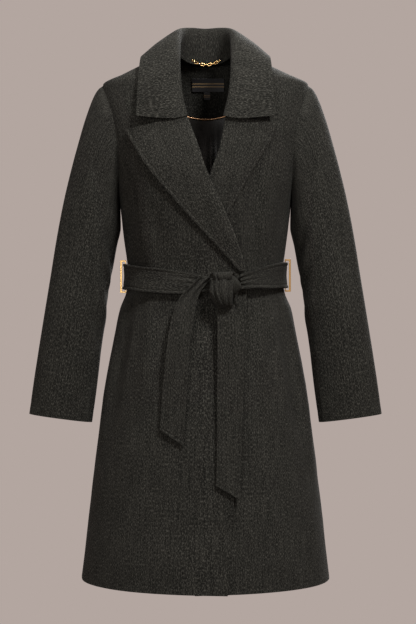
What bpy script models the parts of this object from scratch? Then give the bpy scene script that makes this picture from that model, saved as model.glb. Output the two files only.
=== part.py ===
"""A knee-length wool wrap coat, filled out as if worn, tied with its own belt.

Metres, +Z up. The front faces -Y and the wearer's left is +X. The origin is the neck base:
the middle of the line through the two points where the shoulder seams meet the collar.
Every cloth piece is a flat slab cut as a grid and then laid on one body form, as a skin of
its own thickness at its own lift above the form.
"""

import math

import bmesh
import bpy
from mathutils import Vector

# ---- driving sizes -------------------------------------------------------------------
CLOTH = 0.003  # wool with its interlining
FACED_CLOTH = 0.0032  # two layers of wool, in the lapels, the collar and the belt
SEAM_ANGLE = 0.06  # degrees that a panel stays short of a seam, 0.15 to 0.25 mm
SHOULDER_X = 0.184
SHOULDER_Z = -0.058
NECK_POINT_X = 0.067  # where a shoulder seam meets the collar
UNDERARM_Z = -0.265
HEM_Z = -0.942
HEM_DIP = 0.006  # the hem is lower at the centre front
BELT_WIDTH = 0.0475
LINING_CLOTH = 0.0010
FACING_CLOTH = 0.0014
FRONT_POWER = 2.3  # squareness of a level section, 2 is an ellipse
BACK_POWER = 2.4

# Level sections of the body form.
FORM_COLUMNS = ("height", "half_width", "front_depth", "back_depth")
FORM = (
    (0.000, 0.067, 0.058, 0.062),
    (-0.020, 0.108, 0.068, 0.074),
    (-0.040, 0.149, 0.077, 0.084),
    (-0.058, 0.184, 0.084, 0.091),
    (-0.090, 0.188, 0.094, 0.100),
    (-0.160, 0.178, 0.111, 0.108),
    (-0.230, 0.162, 0.120, 0.108),
    (-0.265, 0.155, 0.119, 0.105),
    (-0.330, 0.1470, 0.111, 0.098),
    (-0.370, 0.1415, 0.104, 0.093),
    (-0.400, 0.1385, 0.101, 0.090),
    (-0.430, 0.1420, 0.103, 0.092),
    (-0.460, 0.1535, 0.108, 0.099),
    (-0.520, 0.166, 0.119, 0.113),
    (-0.600, 0.181, 0.129, 0.125),
    (-0.700, 0.194, 0.138, 0.134),
    (-0.800, 0.206, 0.145, 0.141),
    (-0.960, 0.224, 0.154, 0.151),
)

# Soft folds of the skirt and the waist: where round the body, how wide, how deep, and
# between which heights. A negative depth is a trough.
FOLD_COLUMNS = ("angle", "half_angle", "depth", "top", "bottom")
FOLDS = (
    (-34, 5, 0.0035, -0.455, -0.62),
    (33, 5, 0.0030, -0.455, -0.64),
    (-58, 8, -0.0045, -0.43, -0.74),
    (56, 8, -0.0050, -0.43, -0.80),
    (-30, 6, -0.0030, -0.27, -0.37),
    (29, 6, -0.0035, -0.22, -0.37),
    (148, 10, 0.0055, -0.46, -0.90),
    (205, 12, -0.0060, -0.45, -0.88),
    (236, 9, 0.0050, -0.46, -0.86),
    (122, 8, -0.0045, -0.45, -0.82),
)

# ---- materials -----------------------------------------------------------------------


def finish(name, colour, roughness, metallic=0.0):
    material = bpy.data.materials.new(name)
    material.use_nodes = True
    shader = material.node_tree.nodes["Principled BSDF"]
    shader.inputs["Base Color"].default_value = (*colour, 1)
    shader.inputs["Roughness"].default_value = roughness
    shader.inputs["Metallic"].default_value = metallic
    return material


def clear_scene():
    for thing in list(bpy.data.objects):
        bpy.data.objects.remove(thing, do_unlink=True)


clear_scene()
WOOL = finish("charcoal_wool", (0.030, 0.028, 0.026), 0.92)
SATIN = finish("black_satin", (0.010, 0.010, 0.010), 0.45)
LABEL_SATIN = finish("label_satin", (0.008, 0.008, 0.009), 0.50)
GOLD = finish("gold_metal", (0.72, 0.50, 0.24), 0.28, 1.0)
PIPING = finish("gold_piping", (0.60, 0.36, 0.20), 0.45)
COAT = bpy.data.collections.new("wrap_coat")
bpy.context.scene.collection.children.link(COAT)


# ---- the body form -------------------------------------------------------------------


def smooth_through(stations, values, at):
    """A smooth curve through a table's values that never swings past them."""
    if stations[0] > stations[-1]:
        stations, values = stations[::-1], values[::-1]
    steps = [b - a for a, b in zip(stations, stations[1:])]
    slopes = [(b - a) / s for a, b, s in zip(values, values[1:], steps)]
    inner = [2 * p * q / (p + q) if p * q > 0 else 0.0 for p, q in zip(slopes, slopes[1:])]
    tangents = [slopes[0], *inner, slopes[-1]]
    at = min(max(at, stations[0]), stations[-1])
    k = max(i for i in range(len(steps)) if stations[i] <= at)
    u = (at - stations[k]) / steps[k]
    start = values[k] * (2 * u**3 - 3 * u**2 + 1) + values[k + 1] * (3 * u**2 - 2 * u**3)
    bend = tangents[k] * (u**3 - 2 * u**2 + u) + tangents[k + 1] * (u**3 - u**2)
    return start + bend * steps[k]


def column(table, name_list, name):
    place = name_list.index(name)
    return [row[place] for row in table]


def form_size(name, height):
    """A level section's size at this height."""
    heights = column(FORM, FORM_COLUMNS, "height")
    return smooth_through(heights, column(FORM, FORM_COLUMNS, name), height)


def fold_lift(angle, height):
    """How far the soft folds push the cloth out here."""
    lift = 0.0
    for middle, half_angle, depth, top, bottom in FOLDS:
        away = (angle - middle + 180) % 360 - 180
        if abs(away) < 3 * half_angle and bottom < height < top:
            along = math.sin(math.pi * (height - bottom) / (top - bottom))
            lift += depth * along * math.exp(-((away / half_angle) ** 2))
    return lift


def form_skin(angle, height):
    """The form's point at an angle in degrees: 0 is the centre front, 90 the left side."""
    turn = math.radians(angle)
    sine, cosine = math.sin(turn), math.cos(turn)
    front = cosine > 0
    depth = form_size("front_depth" if front else "back_depth", height)
    power = FRONT_POWER if front else BACK_POWER
    x = form_size("half_width", height) * math.copysign(abs(sine) ** (2 / power), sine)
    y = -depth * math.copysign(abs(cosine) ** (2 / power), cosine)
    return Vector((x, y, height))


def on_form(angle, height, lift=0.0):
    """The form's point, moved out along the form's own normal."""
    across = form_skin(angle + 0.5, height) - form_skin(angle - 0.5, height)
    up = form_skin(angle, min(height + 0.001, 0)) - form_skin(angle, height - 0.002)
    normal = across.cross(up).normalized()
    return form_skin(angle, height) + normal * (lift + fold_lift(angle, height))


def angle_of(x, height):
    """The angle at which the form's front is this far from its middle."""
    share = min(abs(x) / form_size("half_width", height), 1)
    return math.copysign(math.degrees(math.asin(share ** (FRONT_POWER / 2))), x)


def on_front(x, height, lift=0.0):
    return on_form(angle_of(x, height), height, lift)


def hem_height(angle):
    return HEM_Z - HEM_DIP * max(math.cos(math.radians(angle)), 0) ** 2


# ---- slabs of cloth ------------------------------------------------------------------


def slab(name, columns, rows, place, material):
    """A closed slab of cloth. place(i, j, layer) gives the point of column i and row j,
    on the inner skin for layer 0 and on the outer skin for layer 1."""
    mesh = bpy.data.meshes.new(name)
    bm = bmesh.new()
    bmesh.ops.create_grid(bm, x_segments=columns, y_segments=rows, size=0.5)
    raised = bmesh.ops.extrude_face_region(bm, geom=bm.faces[:])["geom"]
    for vert in raised:
        if isinstance(vert, bmesh.types.BMVert):
            vert.co.z = 1
    for vert in bm.verts:
        i = round((vert.co.x + 0.5) * columns)
        j = round((vert.co.y + 0.5) * rows)
        vert.co = place(i, j, round(vert.co.z))
    bmesh.ops.recalc_face_normals(bm, faces=bm.faces)
    bm.to_mesh(mesh)
    bm.free()
    mesh.materials.append(material)
    mesh.shade_smooth()
    piece = bpy.data.objects.new(name, mesh)
    COAT.objects.link(piece)
    return piece


def between(start, end, share):
    return start + (end - start) * share


# ---- fronts and back -----------------------------------------------------------------

# Rows of the body panels below the underarm, and the steps up the armhole above it.
PANEL_HEIGHTS = (-0.86, -0.77, -0.68, -0.60, -0.53, -0.475, -0.43, -0.394, -0.355, -0.31)
ARMHOLE_STEPS = 8
ARMHOLE_HALF_DEPTH = 0.060
BACK_NECK_DROP = 0.014
BACK_TOP_SPREAD = 1.15  # how evenly the back's rows bend up to the shoulder and the neck
PANEL_COLUMNS = 9

# Inner edges of the fronts: the front edge, then the roll of the lapel, then the neckline.
EDGE_COLUMNS = ("height", "over_x", "under_x")
FRONT_EDGES = (
    (-0.953, 0.038, -0.018),
    (-0.788, 0.049, -0.030),
    (-0.600, 0.064, -0.044),
    (-0.433, 0.069, -0.058),
    (-0.394, 0.063, -0.057),
    (-0.367, 0.0570, -0.047),
    (-0.327, 0.0440, -0.030),
    (-0.280, 0.0250, -0.010),
    (-0.239, 0.0070, 0.0070),
    (-0.211, -0.0055, 0.0170),
    (-0.183, -0.0140, 0.0270),
    (-0.1265, -0.0345, 0.0390),
    (-0.090, -0.0470, 0.0480),
    (-0.060, -0.0560, 0.0565),
    (-0.030, -0.0620, 0.0620),
    (-0.012, -0.0650, 0.0650),
    (0.000, -0.0670, 0.0670),
)
NECK_HEIGHTS = (-0.265, -0.225, -0.183, -0.150, -0.1265, -0.090, -0.055, -0.024, 0.0)

# How far the over front stands off the form, where it covers the under front and its lapel.
OVERLAP_COLUMNS = ("height", "lift")
OVERLAP = (
    (-0.96, 0.0045),
    (-0.60, 0.0045),
    (-0.45, 0.0090),
    (-0.40, 0.0135),
    (-0.22, 0.0135),
    (-0.17, 0.0080),
    (-0.12, 0.0020),
    (-0.07, 0.0),
    (0.0, 0.0),
)
OVERLAP_FULL_ANGLE = -30
OVERLAP_NO_ANGLE = -60


def armhole_point(turn):
    """(y, height) on the armhole: turn 0 is the shoulder point, 90 the front, 180 the
    underarm and 270 the back."""
    middle = (SHOULDER_Z + UNDERARM_Z) / 2
    half_height = (SHOULDER_Z - UNDERARM_Z) / 2
    y = -ARMHOLE_HALF_DEPTH * math.sin(math.radians(turn))
    return y, middle + half_height * math.cos(math.radians(turn))


def armhole_angle(turn):
    """(angle, height) of an armhole point, on the left side."""
    y, height = armhole_point(turn)
    front = y < 0
    depth = form_size("front_depth" if front else "back_depth", height)
    power = FRONT_POWER if front else BACK_POWER
    angle = math.degrees(math.acos(min(abs(y) / depth, 1) ** (power / 2)))
    angle = min(angle, 90 - SEAM_ANGLE)
    return (angle if front else 180 - angle), height


def outer_edge(row, front):
    """(angle, height) of a body panel's side seam or armhole at this row, left side."""
    below = len(PANEL_HEIGHTS) + 1
    seam = 90 - SEAM_ANGLE if front else 90 + SEAM_ANGLE
    if row == 0:
        return seam, hem_height(90)
    if row < below:
        return seam, PANEL_HEIGHTS[row - 1]
    turn = 180 - (row - below) * 180 / ARMHOLE_STEPS
    angle, height = armhole_angle(turn if front else 360 - turn)
    if turn in (0, 180):
        angle = seam
    return angle, height


PANEL_ROWS = len(PANEL_HEIGHTS) + 1 + ARMHOLE_STEPS


def over_lift(angle, height):
    """The over front's lift above the form."""
    heights = column(OVERLAP, OVERLAP_COLUMNS, "height")
    full = smooth_through(heights, column(OVERLAP, OVERLAP_COLUMNS, "lift"), height)
    share = (angle - OVERLAP_NO_ANGLE) / (OVERLAP_FULL_ANGLE - OVERLAP_NO_ANGLE)
    share = min(max(share, 0), 1)
    return full * share * share * (3 - 2 * share)


def under_lift(angle, height):
    return 0.0


def edge_x(name, height):
    heights = column(FRONT_EDGES, EDGE_COLUMNS, "height")
    return smooth_through(heights, column(FRONT_EDGES, EDGE_COLUMNS, name), height)


def front_panel(name, side, edge_name, lift_of):
    """One front: side is 1 for the wearer's left and -1 for the right."""
    below = len(PANEL_HEIGHTS) + 1
    bottom = column(FRONT_EDGES, EDGE_COLUMNS, "height")[0]

    def place(i, j, layer):
        share = i / PANEL_COLUMNS
        outer_angle, outer_height = outer_edge(j, True)
        outer_angle *= side
        if j == 0:
            inner_height = bottom if side < 0 else bottom + 0.001
        elif j < below:
            inner_height = outer_height
        else:
            inner_height = NECK_HEIGHTS[j - below]
        inner_angle = angle_of(edge_x(edge_name, inner_height), inner_height)
        if j == PANEL_ROWS:
            inner_angle = outer_angle
        angle = between(outer_angle, inner_angle, share)
        height = between(outer_height, inner_height, share)
        return on_form(angle, height, lift_of(angle, height) + (layer - 1) * CLOTH)

    return slab(name, PANEL_COLUMNS, PANEL_ROWS, place, WOOL)


def shoulder_height(x):
    """The height of the shoulder seam this far from the middle."""
    return (x - NECK_POINT_X) / (SHOULDER_X - NECK_POINT_X) * SHOULDER_Z


def shoulder_and_neck(share, neck_x, neck_place):
    """(angle, height) along the top of a half back: the shoulder seam from the armhole to
    the neck, then the neck curve to the centre back."""
    turn = 0.5
    if share <= turn:
        along = share / turn
        x = between(SHOULDER_X, neck_x, along)
        return 90 + SEAM_ANGLE, shoulder_height(x)
    return neck_place((share - turn) / (1 - turn))


def back_neckline(along):
    """(angle, height) along the neck from the shoulder seam to the centre back."""
    drop = BACK_NECK_DROP * math.sin(math.radians(90 * along))
    return between(90 + SEAM_ANGLE, 180, along**0.8), -drop


def back_place(half_columns, neck_x, neck_place, hem, lift_of, thickness):
    """The place function of a back panel or of its lining."""
    below = len(PANEL_HEIGHTS) + 1

    def half_point(share, row):
        outer_angle, outer_height = outer_edge(row, False)
        centre_top = neck_place(1)[1]
        if row == 0:
            outer_height = hem
            centre_height = hem
        elif row <= below:
            centre_height = outer_height
        else:
            centre_height = between(UNDERARM_Z, centre_top, (row - below) / ARMHOLE_STEPS)
        angle = between(outer_angle, 180, share)
        height = between(outer_height, centre_height, share)
        weight = max((row - below) / ARMHOLE_STEPS, 0) ** BACK_TOP_SPREAD
        top_angle, top_height = shoulder_and_neck(share, neck_x, neck_place)
        start = shoulder_and_neck(0, neck_x, neck_place)
        angle += weight * (top_angle - between(start[0], 180, share))
        height += weight * (top_height - between(start[1], centre_top, share))
        return angle, height

    def place(i, j, layer):
        share = i / half_columns
        if share <= 1:
            angle, height = half_point(share, j)
        else:
            angle, height = half_point(2 - share, j)
            angle = 360 - angle
        return on_form(angle, height, lift_of(height) + (layer - 1) * thickness)

    return place


BACK_HALF_COLUMNS = 8
FACING_ROWS = 3
FACING_EDGE_RADIUS = 0.118
FACING_EDGE_Z = -0.106  # of the facing's edge, at the centre back
FACING_SHOULDER_X = 0.112
FACING_LIFT = -CLOTH - 0.0018
FACING_DROP = 0.0060  # how much further in the facing lies under the shoulder seam
LINING_LIFT = -CLOTH - 0.0030
LINING_DROP = 0.0050  # how much further in the lining lies under the shoulders
LINING_SHOULDER_X = 0.117
LINING_HEM_Z = -0.905
PIPING_RADIUS = 0.0011
PIPING_ROOM = 0.0046  # between the facing's lower edge and the lining's upper one


def facing_curve(along):
    """(angle, height) along the facing's lower edge, from the shoulder to the centre."""
    x = FACING_SHOULDER_X * math.cos(math.radians(90 * along))
    height = FACING_EDGE_Z + FACING_EDGE_RADIUS - math.sqrt(FACING_EDGE_RADIUS**2 - x * x)
    share = min(abs(x) / form_size("half_width", height), 1)
    if along == 0:
        return 90 + SEAM_ANGLE, shoulder_height(FACING_SHOULDER_X)
    return 180 - math.degrees(math.asin(share ** (BACK_POWER / 2))), height


def lining_lift(height):
    share = min(max((height + 0.16) / 0.08, 0), 1)
    return LINING_LIFT - LINING_DROP * share


def no_lift(height):
    return 0.0


def lining_curve(along):
    angle, height = facing_curve(along)
    return angle, height - PIPING_ROOM


def back_facing_place(i, j, layer):
    """The facing inside the back neck, from the neckline to its curved lower edge."""
    share = i / BACK_HALF_COLUMNS
    along = share if share <= 1 else 2 - share
    top, bottom = back_neckline(along), facing_curve(along)
    down = j / FACING_ROWS
    angle = between(top[0], bottom[0], down)
    height = between(top[1], bottom[1], down)
    if share > 1:
        angle = 360 - angle
    lift = FACING_LIFT - FACING_DROP * (1 - along) ** 2
    return on_form(angle, height, lift + (layer - 1) * FACING_CLOTH)


def make_body():
    front_panel("right_front", -1, "over_x", over_lift)
    front_panel("left_front", 1, "under_x", under_lift)
    place = back_place(
        BACK_HALF_COLUMNS, NECK_POINT_X, back_neckline, hem_height(180), no_lift, CLOTH
    )
    slab("back", 2 * BACK_HALF_COLUMNS, PANEL_ROWS, place, WOOL)
    slab("back_neck_facing", 2 * BACK_HALF_COLUMNS, FACING_ROWS, back_facing_place, WOOL)
    place = back_place(
        BACK_HALF_COLUMNS, LINING_SHOULDER_X, lining_curve, LINING_HEM_Z, lining_lift, LINING_CLOTH
    )
    slab("back_lining", 2 * BACK_HALF_COLUMNS, PANEL_ROWS, place, SATIN)


# ---- sleeves -------------------------------------------------------------------------

# Rings down a sleeve: its outer and its inner line seen from the front, and how deep the
# ring is from front to back.
SLEEVE_COLUMNS = ("outer_x", "outer_z", "inner_x", "inner_z", "half_depth")
SLEEVE = (
    (0.1855, -0.0580, 0.1560, -0.2630, 0.0600),
    (0.2010, -0.0780, 0.1545, -0.2790, 0.0620),
    (0.2140, -0.1130, 0.1530, -0.2960, 0.0620),
    (0.2330, -0.1800, 0.1525, -0.3150, 0.0600),
    (0.2520, -0.2600, 0.1600, -0.3500, 0.0560),
    (0.2680, -0.3400, 0.1685, -0.4020, 0.0520),
    (0.2815, -0.4200, 0.1780, -0.4640, 0.0480),
    (0.2955, -0.5050, 0.1870, -0.5300, 0.0430),
    (0.3080, -0.5850, 0.1955, -0.6020, 0.0370),
    (0.3170, -0.6490, 0.2040, -0.6640, 0.0310),
)
SLEEVE_POWER = 2.2
SLEEVE_SETTLE = (1.0, 0.45, 0.12)  # how much of the armhole's shape each first ring keeps
TOP_SLEEVE_TURNS = (-112.5, 157.5)  # from the back seam over the top to the front seam
RING_STEP = 22.5
SLEEVE_CLEARANCE = 0.0008
SLEEVE_SEAM = 0.3  # degrees that each part stays short of the seam


def sleeve_ring_point(turn, ring, inset):
    """The left sleeve's point: turn 0 is the outer line, 90 the front, 180 the inner line."""
    outer_x, outer_z, inner_x, inner_z, half_depth = SLEEVE[ring]
    outer, inner = Vector((outer_x, 0, outer_z)), Vector((inner_x, 0, inner_z))
    middle, half = (outer + inner) / 2, (outer - inner) / 2
    cosine, sine = math.cos(math.radians(turn)), math.sin(math.radians(turn))
    reach = math.copysign(abs(cosine) ** (2 / SLEEVE_POWER), cosine)
    depth = -math.copysign(abs(sine) ** (2 / SLEEVE_POWER), sine) * (half_depth - inset)
    point = middle + half * reach * (1 - inset / half.length)
    return point + Vector((0, depth, 0))


def armhole_ring_point(turn, inset):
    """The sleeve's top edge: the armhole, a hair outside the body panels."""
    y, height = armhole_point(turn)
    middle = (SHOULDER_Z + UNDERARM_Z) / 2
    half_height = (SHOULDER_Z - UNDERARM_Z) / 2
    y *= 1 - inset / ARMHOLE_HALF_DEPTH
    height = middle + (height - middle) * (1 - inset / half_height)
    front = y < 0
    depth = form_size("front_depth" if front else "back_depth", height)
    power = FRONT_POWER if front else BACK_POWER
    x = form_size("half_width", height) * (1 - (abs(y) / depth) ** power) ** (1 / power)
    return Vector((x + SLEEVE_CLEARANCE, y, height))


def sleeve_part(name, side, first_turn, last_turn):
    columns = round((last_turn - first_turn) / RING_STEP)

    def place(i, j, layer):
        turn = between(first_turn + SLEEVE_SEAM, last_turn - SLEEVE_SEAM, i / columns)
        inset = (1 - layer) * CLOTH
        point = sleeve_ring_point(turn, j, inset)
        if j < len(SLEEVE_SETTLE):
            armhole = armhole_ring_point(turn, inset) - sleeve_ring_point(turn, 0, inset)
            point += armhole * SLEEVE_SETTLE[j]
        return Vector((side * point.x, point.y, point.z))

    return slab(name, columns, len(SLEEVE) - 1, place, WOOL)


def make_sleeves():
    back_turn, front_turn = TOP_SLEEVE_TURNS
    for name, side in (("right", -1), ("left", 1)):
        sleeve_part(f"{name}_top_sleeve", side, back_turn, front_turn)
        sleeve_part(f"{name}_under_sleeve", side, front_turn, back_turn + 360)


# ---- lapels and collar ---------------------------------------------------------------

# Where each front facing turns back over its front as the lapel, from the break up to the
# gorge seam.
LAPEL_COLUMNS = ("roll_height", "edge_x", "edge_height", "curl")
OVER_LAPEL = (
    (-0.392, 0.0560, -0.3945, 0.0),
    (-0.355, 0.0289, -0.3598, 0.0005),
    (-0.310, -0.0085, -0.3180, 0.0010),
    (-0.265, -0.0447, -0.2762, 0.0020),
    (-0.225, -0.0740, -0.2390, 0.0030),
    (-0.183, -0.1035, -0.2000, 0.0030),
    (-0.150, -0.1230, -0.1694, 0.0020),
    (-0.127, -0.1368, -0.1480, 0.0015),
)
UNDER_LAPEL = (
    (-0.392, -0.0500, -0.3945, 0.0),
    (-0.355, -0.0080, -0.3580, 0.0),
    (-0.310, 0.0270, -0.3140, 0.0),
    (-0.265, 0.0524, -0.2699, 0.0),
    (-0.225, 0.0754, -0.2308, 0.0010),
    (-0.183, 0.0987, -0.1897, 0.0020),
    (-0.150, 0.1153, -0.1575, 0.0020),
    (-0.127, 0.1232, -0.1350, 0.0015),
)
# The facing's section across the roll: where each station is, from the roll line towards
# the facing's hidden edge or the lapel's outer edge, and the lifts of its two skins above
# the front's outer skin. Inside stations are in metres from the roll, outside ones a share
# of the lapel's width.
LAPEL_GAP = 0.0018  # between a lapel and the front under it
INSIDE_STATIONS = (
    (0.0140, -CLOTH - LAPEL_GAP, -CLOTH - LAPEL_GAP - 0.0018),
    (-0.0012, -CLOTH - LAPEL_GAP, -CLOTH - LAPEL_GAP - 0.0012),
    (-0.0012, LAPEL_GAP, LAPEL_GAP + 0.0016),
)
FOLD_REACH = 0.0022  # how far the fold's outer skin stands off its inner skin
NOTCH_SHARE = 0.29
LAPEL_SHARES = (0.08, NOTCH_SHARE, 0.62, 1.0)


def lapel(name, side, table, edge_name, lift_of):
    """side is 1 for the wearer's left. The lapel lies towards that side of its roll."""
    columns = len(INSIDE_STATIONS) + len(LAPEL_SHARES) - 1

    def place(i, j, layer):
        roll_height, edge_at, edge_height, curl = table[j]
        roll_at = edge_x(edge_name, roll_height)
        if i < len(INSIDE_STATIONS):
            offset, near_lift, far_lift = INSIDE_STATIONS[i]
            reach = FOLD_REACH * layer if i > 0 else 0
            x = roll_at + side * (offset - reach)
            lift = far_lift if layer else near_lift
            height = roll_height
        else:
            share = LAPEL_SHARES[i - len(INSIDE_STATIONS)]
            x = between(roll_at, edge_at, share)
            height = between(roll_height, edge_height, share)
            lift = LAPEL_GAP + layer * FACED_CLOTH + curl * share
        angle = angle_of(x, height)
        return on_form(angle, height, lift_of(angle, height) + lift)

    return slab(name, columns, len(table) - 1, place, WOOL)


# Half of the collar, from the centre back to the gorge, on the skin that shows: the neck
# seam, the top of the stand, the roll, the swell of the fall and its outer edge.
COLLAR_COLUMNS = ("seam", "stand", "roll", "swell", "edge")
COLLAR = (
    (
        (0.000, 0.0590, -0.013), (0.000, 0.0560, 0.036), (0.000, 0.0640, 0.0500),
        (0.000, 0.0860, 0.0240), (0.000, 0.0980, -0.0220),
    ),
    (
        (0.026, 0.0550, -0.012), (0.024, 0.0515, 0.037), (0.027, 0.0590, 0.0510),
        (0.038, 0.0800, 0.0260), (0.046, 0.0960, -0.0210),
    ),
    (
        (0.046, 0.0370, -0.004), (0.040, 0.0340, 0.034), (0.046, 0.0390, 0.0470),
        (0.066, 0.0560, 0.0270), (0.086, 0.0760, -0.0150),
    ),
    (
        (0.0570, 0.0080, 0.002), (0.0470, 0.0060, 0.022), (0.0530, 0.0070, 0.0350),
        (0.0820, 0.0180, 0.0210), (0.1085, 0.0240, -0.0080),
    ),
    (
        (0.0580, -0.0270, 0.000), (0.0480, -0.0270, 0.000), (0.0530, -0.0290, 0.0110),
        (0.0850, -0.0310, 0.0040), (0.1135, -0.0320, -0.0140),
    ),
    (
        (0.0560, -0.0660, -0.028), (0.0480, -0.0660, -0.034), (0.0520, -0.0720, -0.0290),
        (0.0830, -0.0760, -0.0360), (0.1165, -0.0700, -0.0430),
    ),
    (
        (0.0500, -0.0840, -0.066), (0.0440, -0.0900, -0.080), (0.0480, -0.0980, -0.0800),
        (0.0790, -0.0990, -0.0830), (0.1185, -0.0870, -0.0850),
    ),
    (
        (0.0370, -0.1010, -0.115), (0.0345, -0.1040, -0.1220), (0.0385, -0.1115, -0.1236),
        (0.0665, -0.1095, -0.1310), (0.1205, -0.0950, -0.1245),
    ),
)
COLLAR_CLOTH = 0.0034
COLLAR_HALF = len(COLLAR) - 1


def collar_skin(i, j):
    """The collar's visible skin: i runs from one gorge round the neck to the other."""
    half = abs(i - COLLAR_HALF)
    x, y, z = COLLAR[half][j]
    return Vector((math.copysign(x, i - COLLAR_HALF), y, z))


def collar_place(i, j, layer):
    """The hidden skin lies a cloth's thickness behind the visible one, along the normal."""
    last_i, last_j = 2 * COLLAR_HALF, len(COLLAR_COLUMNS) - 1
    point = collar_skin(i, j)
    if layer:
        return point
    round_neck = collar_skin(min(i + 1, last_i), j) - collar_skin(max(i - 1, 0), j)
    over = collar_skin(i, min(j + 1, last_j)) - collar_skin(i, max(j - 1, 0))
    return point + round_neck.cross(over).normalized() * COLLAR_CLOTH


def make_lapels_and_collar():
    lapel("right_lapel", -1, OVER_LAPEL, "over_x", over_lift)
    lapel("left_lapel", 1, UNDER_LAPEL, "under_x", under_lift)
    slab("collar", 2 * COLLAR_HALF, len(COLLAR_COLUMNS) - 1, collar_place, WOOL)


# ---- belt ----------------------------------------------------------------------------

BELT_CLOTH = 0.0032

# The belt across the fronts, from the ring at the side seam to the knot: where round the
# body, its two edges, and its inner skin's lift above the form.
BELT_COLUMNS = ("angle", "top", "bottom", "lift")
RIGHT_BELT = (
    (-89.8, -0.3785, -0.4260, 0.0045),
    (-80.0, -0.3796, -0.4272, 0.0045),
    (-68.0, -0.3803, -0.4283, 0.0075),
    (-56.0, -0.3820, -0.4300, 0.0125),
    (-45.0, -0.3842, -0.4335, 0.0160),
    (-34.0, -0.3868, -0.4360, 0.0175),
    (-23.0, -0.3905, -0.4375, 0.0180),
    (-12.0, -0.3955, -0.4378, 0.0180),
    (-4.0, -0.4010, -0.4355, 0.0185),
    (1.8, -0.4060, -0.4330, 0.0185),
)
LEFT_BELT = (
    (89.8, -0.3765, -0.4240, 0.0045),
    (80.0, -0.3765, -0.4240, 0.0040),
    (68.0, -0.3770, -0.4242, 0.0050),
    (56.0, -0.3792, -0.4256, 0.0075),
    (45.0, -0.3826, -0.4268, 0.0115),
    (37.0, -0.3870, -0.4270, 0.0150),
    (30.0, -0.3920, -0.4270, 0.0180),
    (24.0, -0.3975, -0.4280, 0.0190),
    (20.5, -0.4015, -0.4290, 0.0190),
)


def belt_front(name, table):
    def place(i, j, layer):
        angle, top, bottom, lift = table[i]
        return on_form(angle, between(bottom, top, j), lift + layer * BELT_CLOTH)

    return slab(name, len(table) - 1, 1, place, WOOL)


# The belt round the back, from the wearer's left ring to the right one. It stands proud
# just behind each ring.
BACK_BELT_COLUMNS = ("angle", "middle", "lift")
BACK_BELT_SIDE = ((90.2, 0.0045), (97, 0.0058), (106, 0.0062), (118, 0.0042), (132, 0.0030))
BACK_BELT_STEPS = (145, 157, 168, 180)
LEFT_RING_Z, RIGHT_RING_Z = -0.40025, -0.40225


def back_belt_stations():
    side = [*BACK_BELT_SIDE, *((angle, BACK_BELT_SIDE[-1][1]) for angle in BACK_BELT_STEPS)]
    other = [(360 - angle, lift) for angle, lift in side[-2::-1]]
    return side + other


def make_back_belt():
    stations = back_belt_stations()

    def place(i, j, layer):
        angle, lift = stations[i]
        middle = between(LEFT_RING_Z, RIGHT_RING_Z, i / (len(stations) - 1))
        height = middle + (j - 0.5) * BELT_WIDTH
        return on_form(angle, height, lift + layer * BELT_CLOTH)

    slab("belt_back", len(stations) - 1, 1, place, WOOL)


# The belt's two hanging ends, from the knot down: left and right edge, seen from the
# front, and the inner skin's lift above the form.
END_COLUMNS = ("x_1", "z_1", "x_2", "z_2", "lift")
SHORT_END = (
    (-0.0165, -0.4160, 0.0070, -0.4150, 0.0232),
    (-0.0400, -0.4450, -0.0070, -0.4330, 0.0240),
    (-0.0520, -0.4750, -0.0150, -0.4580, 0.0240),
    (-0.0590, -0.5080, -0.0215, -0.4950, 0.0215),
    (-0.0646, -0.5488, -0.0268, -0.5400, 0.0180),
    (-0.0695, -0.5950, -0.0300, -0.5920, 0.0135),
    (-0.0735, -0.6360, -0.0335, -0.6450, 0.0100),
    (-0.0763, -0.6701, -0.0369, -0.6973, 0.0085),
)
LONG_END = (
    (0.0190, -0.4660, 0.0560, -0.4660, 0.0230),
    (0.0195, -0.4900, 0.0615, -0.4900, 0.0225),
    (0.0196, -0.5300, 0.0625, -0.5300, 0.0190),
    (0.0196, -0.5800, 0.0625, -0.5800, 0.0140),
    (0.0195, -0.6300, 0.0622, -0.6300, 0.0110),
    (0.0194, -0.6800, 0.0612, -0.6800, 0.0095),
    (0.0188, -0.7300, 0.0600, -0.7350, 0.0090),
    (0.0179, -0.7652, 0.0572, -0.7892, 0.0085),
)


def belt_end(name, table):
    def place(i, j, layer):
        x_1, z_1, x_2, z_2, lift = table[j]
        share = i / 2
        x, height = between(x_1, x_2, share), between(z_1, z_2, share)
        return on_front(x, height, lift + layer * BELT_CLOTH)

    return slab(name, 2, len(table) - 1, place, WOOL)


KNOT_SIZE = (0.0415, 0.030, 0.060)
KNOT_MIDDLE = (0.0305, -0.1390, -0.4270)
KNOT_ROUNDING = 0.011


def make_knot():
    mesh = bpy.data.meshes.new("belt_knot")
    bm = bmesh.new()
    bmesh.ops.create_cube(bm, size=1)
    bmesh.ops.scale(bm, vec=KNOT_SIZE, verts=bm.verts)
    bm.to_mesh(mesh)
    bm.free()
    mesh.materials.append(WOOL)
    knot = bpy.data.objects.new("belt_knot", mesh)
    knot.location = KNOT_MIDDLE
    COAT.objects.link(knot)
    rounding = knot.modifiers.new("rounding", "BEVEL")
    rounding.width = KNOT_ROUNDING
    rounding.segments = 3
    mesh.shade_smooth()


def make_belt():
    belt_front("belt_right_front", RIGHT_BELT)
    belt_front("belt_left_front", LEFT_BELT)
    make_back_belt()
    make_knot()
    belt_end("belt_short_end", SHORT_END)
    belt_end("belt_long_end", LONG_END)


# ---- gold belt rings -----------------------------------------------------------------

RING_X = 0.1472  # of the ring's middle
RING_OPENING = (0.0056, 0.0530)  # across and up
RING_OUTER_BAR = 0.0036
RING_INNER_BAR = 0.0018
RING_END_BAR = 0.0028
RING_THICKNESS = 0.0024


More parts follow.
